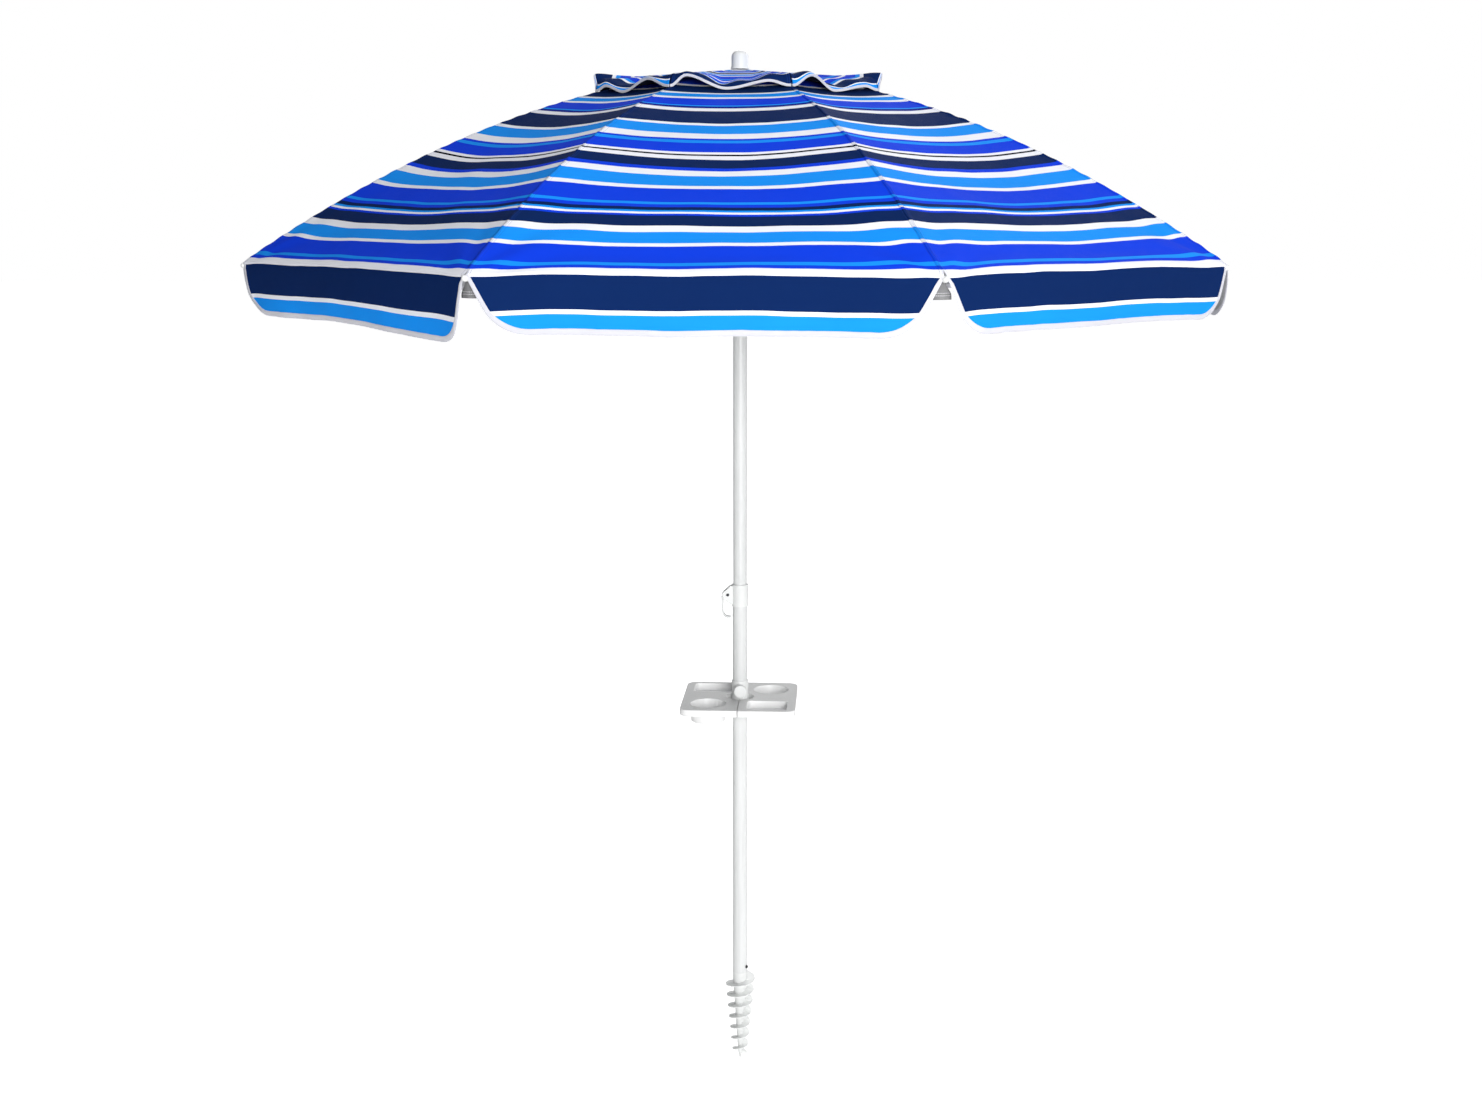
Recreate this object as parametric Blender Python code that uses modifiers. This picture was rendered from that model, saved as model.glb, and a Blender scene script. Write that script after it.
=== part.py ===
"""A beach umbrella: sand anchor, two-part pole with a lever clamp, drink tray, and a canopy with a vent.

Metres, +Z up. The origin is the tip of the sand anchor, on the pole's axis, and the front faces -Y.
"""

import math
from math import cos, hypot, radians, sin

import bmesh
import bpy
from mathutils import Matrix, Vector

RIBS = 8
STEP = 2 * math.pi / RIBS
FIRST_RIB = radians(-71.8)
GAP = 0.0003

# Canopy, measured down from the point where its surface would meet the axis.
APEX_Z = 2.163
CANOPY_R = 1.0
FABRIC = 0.001
VALANCE = 0.098
SAG = 0.018
CANOPY_HOLE_R = 0.17
VENT_R = 0.305
VENT_TOP_Z = 2.168
VENT_FALL = 0.024
VENT_SAG = 0.018
VENT_HEM_Z = 2.118
SEAM_ALLOWANCE = 0.0014
CORNER_INSET = 0.0075

# Frame of ribs, measured in the upright plane through one rib: distance from the axis, and height.
RIB_R = 0.002
RIB_BELOW = 0.0078
CROWN_PIVOT_R = 0.0225
JOINT_R = 0.45
JOINT_BELOW = 0.0085
RUNNER_PIVOT_R = 0.0255
RUNNER_DROP = 0.30
FOLD = radians(64.5)
BLADE = 0.0024
SLOT = 0.0034
CROWN_HOLE_R = 0.0013
RIVET_HOLE_R = 0.0015

# Poles.
POLE_R = 0.016
POLE_WALL = 0.0008
UPPER_R = 0.0145
UPPER_BOTTOM = 0.80
LOWER_TOP = 1.090

# Sand anchor.
ANCHOR_TOP = 0.212
SPIGOT_TOP = 0.262
SPIGOT_R = 0.014
ANCHOR_SCREW_Z = 0.226
ANCHOR_SCREW_AT = radians(-33)
BLADE_LOW = 0.012
BLADE_HIGH = 0.200
BLADE_THICK = 0.0034
BLADE_PITCH = 0.026
BLADE_TOP_R = 0.035
BLADE_TIP_R = 0.017
BLADE_STEPS_PER_TURN = 12

# Lever clamp.
CLAMP_LOW = 1.050
CLAMP_HIGH = 1.097
CLAMP_R = 0.0178
CLAMP_PIN = (-0.0266, 1.075)
CLAMP_PIN_R = 0.003
EAR_IN = 0.006
EAR_OUT = 0.009
CLAMP_SLIT = 0.003

# Drink tray.
TRAY_TURN = radians(-4)
TRAY_W = 0.245
TRAY_D = 0.235
TRAY_TOP = 0.848
TRAY_RIM = 0.014
TRAY_SKIN = 0.0025
TRAY_SEAM = 0.0009
CUP_AT = (0.065, 0.060)
CUP_R = 0.039
CUP_DEEP = 0.0345
CUP_TAPER = 0.005
POCKET = (0.018, 0.105, -0.106, -0.035)
POCKET_DEEP = 0.015
POCKET_CORNER = 0.008
POCKET_SHRINK = 0.06
HUB_R = 0.030
HUB_WALL = 0.0032
SLEEVE_R = 0.018
SLEEVE_TOP = 0.885
FLANGE_Z = 0.8262
FLANGE_TOP = 0.8297
KNOB_Z = 0.868
KNOB_R = 0.014
KNOB_FRONT = -0.040
KNOB_BACK = -0.0265

WHITE = ((0.88, 0.89, 0.88), 0.35, 0.0)
POLE_WHITE = ((0.80, 0.81, 0.80), 0.3, 0.2)
STEEL = ((0.55, 0.56, 0.58), 0.3, 1.0)
DARK = ((0.03, 0.03, 0.035), 0.5, 0.4)
GLASSFIBRE = ((0.72, 0.73, 0.72), 0.4, 0.0)
NAVY = ((0.01, 0.02, 0.11), 0.8, 0.0)
BLUE = ((0.01, 0.06, 0.75), 0.8, 0.0)

parts = None


# ---------------------------------------------------------------- tools


def clear_scene():
    for piece in list(bpy.data.objects):
        bpy.data.objects.remove(piece)


def material(name, look):
    colour, roughness, metallic = look
    paint = bpy.data.materials.new(name)
    paint.use_nodes = True
    shader = paint.node_tree.nodes["Principled BSDF"]
    shader.inputs["Base Color"].default_value = (*colour, 1)
    shader.inputs["Roughness"].default_value = roughness
    shader.inputs["Metallic"].default_value = metallic
    return paint


def keep(name, mesh, look, location=(0, 0, 0), turn=0.0, smooth=True):
    """Adds the finished sub-part to the umbrella's collection."""
    piece = bpy.data.objects.new(name, mesh)
    piece.location = location
    piece.rotation_euler = (0, 0, turn)
    parts.objects.link(piece)
    if not mesh.materials:
        mesh.materials.append(material(name, look))
    if smooth:
        mesh.shade_smooth()
        mesh.set_sharp_from_angle(angle=radians(35))
    return piece


def rough(mesh):
    """A temporary object, for a Boolean or a modifier to work on."""
    piece = bpy.data.objects.new("rough", mesh)
    bpy.context.scene.collection.objects.link(piece)
    return piece


def finished(piece, weld=0.0):
    """The mesh of a temporary object after its modifiers. The object is removed."""
    bpy.context.view_layer.update()
    seen = piece.evaluated_get(bpy.context.evaluated_depsgraph_get())
    mesh = bpy.data.meshes.new_from_object(seen)
    mesh.transform(piece.matrix_world)
    if weld:
        shape = bmesh.new()
        shape.from_mesh(mesh)
        bmesh.ops.remove_doubles(shape, verts=shape.verts, dist=weld)
        shape.to_mesh(mesh)
        shape.free()
    bpy.data.objects.remove(piece)
    return mesh


def combine(base, *steps):
    """The mesh of base after each (operation, other piece) in turn."""
    for operation, other in steps:
        change = base.modifiers.new(operation, "BOOLEAN")
        change.operation = operation
        change.object = other
        change.solver = "EXACT"
    mesh = finished(base)
    for _, other in steps:
        bpy.data.objects.remove(other)
    return mesh


def shape_of(fill, place):
    """A temporary object from a function that fills a bmesh, moved by the matrix place."""
    shape = bmesh.new()
    fill(shape)
    shape.transform(place)
    mesh = bpy.data.meshes.new("rough")
    shape.to_mesh(mesh)
    shape.free()
    return rough(mesh)


def box(low, high):
    low, high = Vector(low), Vector(high)
    size = Matrix.Diagonal((*(high - low), 1))
    place = Matrix.Translation((low + high) / 2) @ size
    return shape_of(lambda shape: bmesh.ops.create_cube(shape, size=1), place)


def rod(start, end, radius, end_radius=None, sides=24):
    """A cylinder, or a cone if end_radius is given, between two points."""
    start, end = Vector(start), Vector(end)
    along = end - start
    aim = along.to_track_quat("Z", "Y").to_matrix().to_4x4()

    def fill(shape):
        bmesh.ops.create_cone(
            shape,
            cap_ends=True,
            segments=sides,
            radius1=radius,
            radius2=radius if end_radius is None else end_radius,
            depth=along.length,
        )

    return shape_of(fill, Matrix.Translation((start + end) / 2) @ aim)


def turned(profile, steps=24):
    """A solid of revolution. The profile lists (radius, height) down its outer side.

    A profile that starts off the axis is closed into a ring.
    """
    mesh = bpy.data.meshes.new("profile")
    count = len(profile)
    edges = [(n, n + 1) for n in range(count - 1)]
    if profile[0][0] > 0:
        edges.append((count - 1, 0))
    mesh.from_pydata([(r, 0, z) for r, z in profile], edges, [])
    piece = rough(mesh)
    screw = piece.modifiers.new("turn", "SCREW")
    screw.steps = steps
    screw.render_steps = steps
    screw.use_merge_vertices = True
    screw.merge_threshold = 0.00001
    return rough(finished(piece))


def tube(outer, wall, low, high, steps=28):
    inner = outer - wall
    return turned([(outer, high), (outer, low), (inner, low), (inner, high)], steps)


def plate(outline, low, high, upright=False):
    """An outline with a thickness. It lies flat, or stands in the XZ plane if upright."""
    curve = bpy.data.curves.new("outline", "CURVE")
    curve.dimensions = "2D"
    curve.fill_mode = "BOTH"
    curve.extrude = (high - low) / 2
    line = curve.splines.new("POLY")
    line.points.add(len(outline) - 1)
    for point, (x, y) in zip(line.points, outline):
        point.co = (x, y, 0, 1)
    line.use_cyclic_u = True
    piece = bpy.data.objects.new("outline", curve)
    bpy.context.scene.collection.objects.link(piece)
    if upright:
        piece.rotation_euler = (math.pi / 2, 0, 0)
        piece.location = (0, (low + high) / 2, 0)
    else:
        piece.location = (0, 0, (low + high) / 2)
    return rough(finished(piece, weld=0.00001))


def wire(points, radius, resolution=2):
    """A round wire through points, with closed ends."""
    curve = bpy.data.curves.new("wire", "CURVE")
    curve.dimensions = "3D"
    curve.bevel_depth = radius
    curve.bevel_resolution = resolution
    curve.use_fill_caps = True
    line = curve.splines.new("POLY")
    line.points.add(len(points) - 1)
    for point, (x, y, z) in zip(line.points, points):
        point.co = (x, y, z, 1)
    piece = bpy.data.objects.new("wire", curve)
    bpy.context.scene.collection.objects.link(piece)
    return rough(finished(piece, weld=0.00001))


def arc(centre, radius, start, end, count):
    """Points on a circle, from one angle to another in degrees."""
    turns = [radians(start + (end - start) * n / count) for n in range(count + 1)]
    return [(centre[0] + radius * cos(a), centre[1] + radius * sin(a)) for a in turns]


def rounded(x0, x1, y0, y1, left, right, count=3):
    """A rectangle's outline with one corner radius at its left end and one at its right."""
    return (
        arc((x0 + left, y0 + left), left, 180, 270, count)
        + arc((x1 - right, y0 + right), right, 270, 360, count)
        + arc((x1 - right, y1 - right), right, 0, 90, count)
        + arc((x0 + left, y1 - left), left, 90, 180, count)
    )


# ---------------------------------------------------------------- frame geometry


def canopy_z(r):
    """The canopy's height above a rib, at a distance from the axis."""
    return APEX_Z - 0.052 * r - 0.349 * r**2 + 0.028 * r**3


def rib_z(r):
    return canopy_z(r) - RIB_BELOW


CROWN_PIVOT = (CROWN_PIVOT_R, rib_z(CROWN_PIVOT_R))
CROWN_LOW = CROWN_PIVOT[1] - 0.0077
CROWN_HIGH = CROWN_PIVOT[1] + 0.0073
JOINT = (JOINT_R, rib_z(JOINT_R) - JOINT_BELOW)
RUNNER_PIVOT = (RUNNER_PIVOT_R, CROWN_PIVOT[1] - RUNNER_DROP)
RUNNER_BOTTOM = RUNNER_PIVOT[1] - 0.045


def rib_angle(number):
    return FIRST_RIB + number * STEP


def around(number, r, z):
    """A point of one rib's upright plane, in the umbrella's frame."""
    return Vector((r * cos(rib_angle(number)), r * sin(rib_angle(number)), z))


def rib_fold(number):
    """The motion of one rib from open to folded."""
    pivot = around(number, *CROWN_PIVOT)
    tangent = Vector((-sin(rib_angle(number)), cos(rib_angle(number)), 0))
    turn = Matrix.Rotation(FOLD, 4, tangent)
    return Matrix.Translation(pivot) @ turn @ Matrix.Translation(-pivot)


def panel_pivot():
    """The point of the pole's axis that stays put as a panel turns from its first rib to its second."""
    change = rib_fold(0).inverted() @ rib_fold(1)
    return Vector((0, 0, change[2][3] / (1 - change[2][2])))


def set_round(name, mesh, look, pivot):
    """Copies a mesh, drawn in the upright plane at angle 0, to each rib, with its origin at pivot."""
    mesh.transform(Matrix.Translation((-pivot[0], 0, -pivot[1])))
    for number in range(RIBS):
        place = around(number, *pivot)
        keep(f"{name}_{number + 1}", mesh, look, place, rib_angle(number))


# ---------------------------------------------------------------- sand anchor


def anchor_blade():
    """A blade that winds round the anchor's core and widens towards the top."""
    height = BLADE_HIGH - BLADE_LOW
    turns = height / BLADE_PITCH
    steps = round(turns * BLADE_STEPS_PER_TURN)
    root, edge = BLADE_THICK / 2, BLADE_THICK / 3
    section = [(0.1, -root), (1, -edge), (1, edge), (0.1, root)]
    mesh = bpy.data.meshes.new("blade")
    shape = bmesh.new()
    corners = [shape.verts.new((r, 0, z)) for r, z in section]
    face = shape.faces.new(corners)
    bmesh.ops.spin(
        shape,
        geom=[face, *face.edges, *corners],
        cent=(0, 0, 0),
        axis=(0, 0, 1),
        dvec=(0, 0, height / steps),
        angle=turns * 2 * math.pi,
        steps=steps,
        use_merge=False,
    )
    for corner in shape.verts:
        share = corner.co.z / height
        width = BLADE_TIP_R + (BLADE_TOP_R - BLADE_TIP_R) * share
        corner.co.x *= width
        corner.co.y *= width
        corner.co.z += BLADE_LOW + root
    bmesh.ops.recalc_face_normals(shape, faces=shape.faces)
    shape.to_mesh(mesh)
    shape.free()
    return rough(mesh)


def anchor_screw_axis():
    """The screw's direction out from the pole's axis, and the point on that axis at its height."""
    aim = Vector((cos(ANCHOR_SCREW_AT), sin(ANCHOR_SCREW_AT), 0))
    return aim, Vector((0, 0, ANCHOR_SCREW_Z))


def build_anchor():
    core = turned(
        [
            (0, SPIGOT_TOP),
            (SPIGOT_R - 0.001, SPIGOT_TOP),
            (SPIGOT_R, SPIGOT_TOP - 0.002),
            (SPIGOT_R, ANCHOR_TOP),
            (POLE_R, ANCHOR_TOP),
            (POLE_R, 0.196),
            (0.0045, 0.020),
            (0, 0),
        ]
    )
    aim, middle = anchor_screw_axis()
    pilot = rod(middle, middle + aim * 0.03, 0.0023, sides=12)
    mesh = combine(core, ("UNION", anchor_blade()), ("DIFFERENCE", pilot))
    keep("sand_anchor", mesh, WHITE)

    shank = rod(middle + aim * 0.004, middle + aim * 0.0175, 0.002, sides=12)
    head = rod(middle + aim * 0.0165, middle + aim * 0.0192, 0.004, 0.003, sides=16)
    socket = rod(middle + aim * 0.0182, middle + aim * 0.021, 0.0016, sides=6)
    mesh = combine(head, ("UNION", shank), ("DIFFERENCE", socket))
    keep("anchor_screw", mesh, DARK)


# ---------------------------------------------------------------- poles and clamp


def build_poles():
    lower = tube(POLE_R, POLE_WALL, ANCHOR_TOP + GAP, LOWER_TOP)
    aim, middle = anchor_screw_axis()
    hole = rod(middle + aim * 0.008, middle + aim * 0.03, 0.0026, sides=16)
    keep("lower_pole", combine(lower, ("DIFFERENCE", hole)), POLE_WHITE)

    upper = tube(UPPER_R, POLE_WALL, UPPER_BOTTOM, CROWN_LOW - 0.0004)
    slot_top = RUNNER_BOTTOM + 0.0004
    slot_low = RUNNER_BOTTOM - 0.0262
    slot = box((-0.002, -0.020, slot_low), (0.002, -0.010, slot_top))
    keep("upper_pole", combine(upper, ("DIFFERENCE", slot)), POLE_WHITE)

    low = UPPER_BOTTOM - GAP
    neck = UPPER_R - POLE_WALL - GAP
    plug = turned(
        [
            (0, UPPER_BOTTOM + 0.028),
            (neck - 0.001, UPPER_BOTTOM + 0.028),
            (neck, UPPER_BOTTOM + 0.026),
            (neck, low),
            (UPPER_R, low),
            (UPPER_R, low - 0.004),
            (UPPER_R - 0.001, low - 0.005),
            (0, low - 0.005),
        ]
    )
    keep("pole_plug", finished(plug), WHITE)


def pin_bore():
    """A cutter for the holes that the clamp pin goes through."""
    x, z = CLAMP_PIN
    return rod((x, -0.02, z), (x, 0.02, z), CLAMP_PIN_R + GAP, sides=20)


def build_collar():
    """The split collar that squeezes the pole, with an ear on each side of the lever."""
    ear = [
        (-0.010, 1.0945),
        (-0.0205, 1.0945),
        (-0.0365, 1.0800),
        (-0.0385, 1.0760),
        (-0.0370, 1.0700),
        (-0.0290, 1.0590),
        (-0.0200, 1.0545),
        (-0.010, 1.0545),
    ]
    low, high = CLAMP_LOW - 0.01, CLAMP_HIGH + 0.013
    stop = LOWER_TOP + 0.0025
    slit = CLAMP_SLIT / 2
    mesh = combine(
        rod((0, 0, CLAMP_LOW), (0, 0, CLAMP_HIGH), CLAMP_R, sides=28),
        ("UNION", plate(ear, EAR_IN, EAR_OUT, upright=True)),
        ("UNION", plate(ear, -EAR_OUT, -EAR_IN, upright=True)),
        ("DIFFERENCE", rod((0, 0, low), (0, 0, stop), POLE_R + GAP, sides=28)),
        ("DIFFERENCE", rod((0, 0, 1.08), (0, 0, high), UPPER_R + 0.0004, sides=28)),
        ("DIFFERENCE", box((-0.030, -slit, low), (-0.005, slit, high))),
        ("DIFFERENCE", pin_bore()),
    )
    keep("clamp_collar", mesh, WHITE)

    x, z = CLAMP_PIN
    pin = rod((x, -0.0100, z), (x, 0.0100, z), CLAMP_PIN_R, sides=20)
    keep("clamp_pin", finished(pin), DARK)


def build_lever():
    """The clamp's lever, whose round head turns on the pin and whose free end is hooked."""
    pin_x, pin_z = CLAMP_PIN
    half = EAR_IN - 0.0004
    outline = arc(CLAMP_PIN, 0.0082, 20, 160, 7) + [
        (pin_x - 0.0112, pin_z + 0.0005),
        (pin_x - 0.0134, pin_z - 0.0060),
        (pin_x - 0.0136, pin_z - 0.0300),
        (pin_x - 0.0120, pin_z - 0.0420),
        (pin_x - 0.0070, pin_z - 0.0490),
        (pin_x - 0.0005, pin_z - 0.0515),
        (pin_x + 0.0065, pin_z - 0.0505),
        (pin_x + 0.0071, pin_z - 0.0478),
        (pin_x + 0.0005, pin_z - 0.0475),
        (pin_x - 0.0045, pin_z - 0.0450),
        (pin_x - 0.0085, pin_z - 0.0390),
        (pin_x - 0.0092, pin_z - 0.0280),
        (pin_x - 0.0078, pin_z - 0.0120),
        (pin_x - 0.0030, pin_z - 0.0076),
        (pin_x + 0.0040, pin_z - 0.0071),
    ]
    lever = combine(plate(outline, -half, half, upright=True), ("DIFFERENCE", pin_bore()))
    lever.transform(Matrix.Translation((-pin_x, 0, -pin_z)))
    keep("clamp_lever", lever, WHITE, (pin_x, 0, pin_z))


# ---------------------------------------------------------------- tray


def tapered_plate(outline, low, high, shrink):
    """A plate whose lower outline is drawn in towards its middle."""
    piece = plate(outline, low, high)
    points = piece.data.vertices
    middle = sum((v.co for v in points), Vector()) / len(points)
    for v in points:
        if v.co.z < middle.z:
            v.co.x = middle.x + (v.co.x - middle.x) * (1 - shrink)
            v.co.y = middle.y + (v.co.y - middle.y) * (1 - shrink)
    return piece


def cup(radius, low, high):
    """A tapered drum on the cup holder's axis, with the given radius at the tray's top."""
    x, y = CUP_AT
    return rod((x, y, low), (x, y, high), radius - CUP_TAPER, radius, sides=24)


def pocket(grow, low, high):
    """A drum of the pocket's outline, grown by a wall, and drawn in towards its floor."""
    x0, x1, y0, y1 = POCKET
    corner = POCKET_CORNER + grow
    edge = rounded(x0 - grow, x1 + grow, y0 - grow, y1 + grow, corner, corner)
    return tapered_plate(edge, low, high, POCKET_SHRINK)


def tray_half():
    """The right half: a pocket at the front, and a cup holder at the back."""
    wide, deep = TRAY_W / 2, TRAY_D / 2
    skin = TRAY_SKIN
    base = TRAY_TOP - TRAY_RIM
    inside, above = TRAY_TOP - 0.0005, TRAY_TOP + 0.001
    outer_edge = rounded(TRAY_SEAM, wide, -deep, deep, 0.003, 0.020)
    under_edge = rounded(TRAY_SEAM + skin, wide - skin, -deep + skin, deep - skin, 0.002, 0.0175)
    cup_floor = TRAY_TOP - CUP_DEEP
    pocket_floor = TRAY_TOP - POCKET_DEEP
    hub = rod((0, 0, FLANGE_TOP + GAP), (0, 0, inside), HUB_R + HUB_WALL, sides=28)
    return combine(
        plate(outer_edge, base, TRAY_TOP),
        ("DIFFERENCE", plate(under_edge, base - 0.01, TRAY_TOP - skin)),
        ("UNION", cup(CUP_R + skin, cup_floor - skin, inside)),
        ("UNION", pocket(skin, pocket_floor - skin, inside)),
        ("UNION", hub),
        ("DIFFERENCE", cup(CUP_R, cup_floor, above)),
        ("DIFFERENCE", pocket(0, pocket_floor, above)),
        ("DIFFERENCE", rod((0, 0, 0.80), (0, 0, 0.90), HUB_R, sides=28)),
        ("DIFFERENCE", box((-0.05, -0.05, 0.80), (TRAY_SEAM, 0.05, 0.90))),
    )


def build_tray():
    mesh = tray_half()
    keep("tray_half_right", mesh, WHITE, turn=TRAY_TURN)
    keep("tray_half_left", mesh, WHITE, turn=TRAY_TURN + math.pi)


def build_tray_collar():
    """The sleeve that grips the pole, with a flange under the tray and a boss for the knob."""
    bore = POLE_R + GAP
    flange_r = HUB_R + 0.006
    sleeve = turned(
        [
            (SLEEVE_R - 0.0006, SLEEVE_TOP),
            (SLEEVE_R, SLEEVE_TOP - 0.001),
            (SLEEVE_R, FLANGE_TOP),
            (flange_r, FLANGE_TOP),
            (flange_r, FLANGE_Z),
            (bore, FLANGE_Z),
            (bore, SLEEVE_TOP),
        ]
    )
    boss = rod((0, -0.0168, KNOB_Z), (0, -0.024, KNOB_Z), 0.0075, 0.0065, sides=20)
    thread = rod((0, -0.010, KNOB_Z), (0, -0.030, KNOB_Z), 0.0033, sides=16)
    bore_again = rod((0, 0, 0.80), (0, 0, 0.90), bore, sides=24)
    steps = ("UNION", boss), ("DIFFERENCE", thread), ("DIFFERENCE", bore_again)
    keep("tray_collar", combine(sleeve, *steps), WHITE)


def build_knob():
    knob = rod((0, 0, 0), (0, KNOB_BACK - KNOB_FRONT, 0), KNOB_R, sides=24)
    rim = knob.modifiers.new("round", "BEVEL")
    rim.width = 0.0015
    rim.segments = 1
    rim.limit_method = "ANGLE"
    shaft = rod((0, 0.010, 0), (0, -KNOB_FRONT - POLE_R - GAP, 0), 0.0028, sides=16)
    keep("tray_knob", combine(knob, ("UNION", shaft)), WHITE, (0, KNOB_FRONT, KNOB_Z))


# ---------------------------------------------------------------- crown, finial, runner and catch


def slots(core_r, low, high):
    """Cutters for the radial slots of a crown or runner, one on each rib."""
    cutters = []
    for number in range(RIBS):
        cutter = box((core_r, -SLOT / 2, low), (0.05, SLOT / 2, high))
        cutter.data.transform(Matrix.Rotation(rib_angle(number), 4, "Z"))
        cutters.append(("DIFFERENCE", cutter))
    return cutters


def wire_ring(radius, thickness, z):
    bpy.ops.mesh.primitive_torus_add(
        major_radius=radius,
        minor_radius=thickness,
        major_segments=32,
        minor_segments=5,
        location=(0, 0, z),
    )
    made = bpy.context.object
    mesh = made.data
    mesh.transform(made.matrix_world)
    bpy.data.objects.remove(made)
    return rough(mesh)


def build_crown():
    pivot_z = CROWN_PIVOT[1]
    low, high = CROWN_LOW, CROWN_HIGH
    bore = UPPER_R + 0.0004
    groove_in, groove_out = CROWN_PIVOT_R - 0.0013, CROWN_PIVOT_R + 0.0013
    body = turned(
        [
            (0, 2.188),
            (0.004, 2.188),
            (0.004, high),
            (groove_in, high),
            (groove_in, pivot_z - 0.0014),
            (groove_out, pivot_z - 0.0014),
            (groove_out, high),
            (0.028, high),
            (0.028, low),
            (0.0172, low),
            (0.0172, low - 0.022),
            (bore, low - 0.022),
            (bore, low),
            (0, low),
        ]
    )
    mesh = combine(body, *slots(0.0177, low - 0.005, high + 0.005))
    keep("crown", mesh, WHITE)
    keep("crown_ring", finished(wire_ring(CROWN_PIVOT_R, 0.0008, pivot_z)), STEEL)


def build_finial():
    base, top = VENT_TOP_Z + 0.0006, 2.2062
    wide, body = 0.0185, 0.0172
    rise = 0.013
    turns = [radians(90 - 22.5 * n) for n in range(1, 5)]
    dome = [(body * cos(a), top - rise + rise * sin(a)) for a in turns]
    profile = [(0, top), *dome]
    profile += [(body, base + 0.006), (wide, base + 0.002), (wide, base)]
    profile += [(0.0045, base), (0.0045, 2.192), (0, 2.192)]
    keep("finial", finished(turned(profile)), WHITE)


def build_runner():
    z = RUNNER_PIVOT[1]
    bore = UPPER_R + 0.0004
    body = turned(
        [
            (0.0185, z + 0.014),
            (0.0185, z + 0.006),
            (0.030, z + 0.006),
            (0.030, z - 0.006),
            (0.0185, z - 0.006),
            (0.0185, z - 0.038),
            (0.0200, z - 0.040),
            (0.0200, RUNNER_BOTTOM),
            (bore, RUNNER_BOTTOM),
            (bore, z + 0.014),
        ]
    )
    mesh = combine(body, *slots(0.0205, z - 0.007, z + 0.007))
    keep("runner", mesh, WHITE)


def build_catch():
    """A bent strip that holds the runner up, and the wire spring inside the pole behind it."""
    top = RUNNER_BOTTOM - 0.0005
    outside = [
        (-0.0190, top),
        (-0.0040, top),
        (-0.0040, top - 0.0240),
        (-0.0142, top - 0.0240),
        (-0.0190, top - 0.0060),
    ]
    inside = [
        (-0.0182, top - 0.0008),
        (-0.0048, top - 0.0008),
        (-0.0048, top - 0.0232),
        (-0.0136, top - 0.0232),
        (-0.0182, top - 0.0061),
    ]
    strip = plate(outside, -0.0015, 0.0015, upright=True)
    catch = combine(strip, ("DIFFERENCE", plate(inside, -0.0020, 0.0020, upright=True)))
    catch.transform(Matrix.Rotation(math.pi / 2, 4, "Z"))
    keep("runner_catch", catch, STEEL)

    middle = top - 0.012
    spring = [
        (0, 0.0118, middle - 0.024),
        (0, 0.0060, middle - 0.016),
        (0, -0.0015, middle - 0.005),
        (0, -0.0028, middle),
        (0, -0.0015, middle + 0.005),
        (0, 0.0060, middle + 0.016),
        (0, 0.0118, middle + 0.024),
    ]
    keep("catch_spring", finished(wire(spring, 0.0007)), STEEL)


# ---------------------------------------------------------------- ribs and stretchers


def pin_hole(centre, radius):
    x, z = centre
    return rod((x, -0.01, z), (x, 0.01, z), radius, sides=8)


def flat_end(eye, neck_end, radius, height):
    """A rib's or stretcher's flattened end: a round eye whose neck runs towards neck_end."""
    run, rise = neck_end[0] - eye[0], neck_end[1] - eye[1]
    aim = math.degrees(math.atan2(rise, run))
    open_side = math.degrees(math.asin(height / 2 / radius))
    outline = arc(eye, radius, aim + open_side, aim + 360 - open_side, 9)
    for side in (-1, 1):
        square = (-rise * side, run * side)
        shift = height / 2 / hypot(run, rise)
        outline.append((neck_end[0] + square[0] * shift, neck_end[1] + square[1] * shift))
    return plate(outline, -BLADE / 2, BLADE / 2, upright=True)


def build_ribs():
    start, end = CROWN_PIVOT_R + 0.012, CANOPY_R - 0.006
    count = 12
    stations = [start + (end - start) * n / count for n in range(count + 1)]
    line = [(r, 0, rib_z(r)) for r in stations]
    neck_end = (start + 0.004, rib_z(start + 0.004))
    joint_x, joint_z = JOINT
    over = rib_z(JOINT_R)
    low_corner = (joint_x - 0.007, -0.0028, joint_z - 0.0045)
    bracket = box(low_corner, (joint_x + 0.007, 0.0028, over - 0.0002))
    low_corner = (joint_x - 0.009, -0.0016, joint_z - 0.006)
    notch = box(low_corner, (joint_x + 0.009, 0.0016, over - 0.0028))
    mesh = combine(
        wire(line, RIB_R, 1),
        ("UNION", flat_end(CROWN_PIVOT, neck_end, 0.0035, 0.0046)),
        ("UNION", bracket),
        ("DIFFERENCE", notch),
        ("DIFFERENCE", pin_hole(CROWN_PIVOT, CROWN_HOLE_R)),
        ("DIFFERENCE", pin_hole(JOINT, RIVET_HOLE_R)),
    )
    set_round("rib", mesh, GLASSFIBRE, CROWN_PIVOT)


def build_rib_tips():
    """A cap on each rib's end, which holds the canopy's corner."""
    inner, outer = CANOPY_R - 0.014, CANOPY_R + 0.011
    slope = (rib_z(outer) - rib_z(inner)) / (outer - inner)
    middle = rib_z(CANOPY_R)

    def at(r):
        return Vector((r, 0, middle + slope * (r - CANOPY_R)))

    cap = rod(at(inner), at(outer), 0.0036, 0.0044, sides=12)
    socket = rod(at(inner - 0.002), at(CANOPY_R - 0.004), RIB_R + 0.0004, sides=12)
    mesh = combine(cap, ("DIFFERENCE", socket))
    set_round("rib_tip", mesh, WHITE, CROWN_PIVOT)


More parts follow.
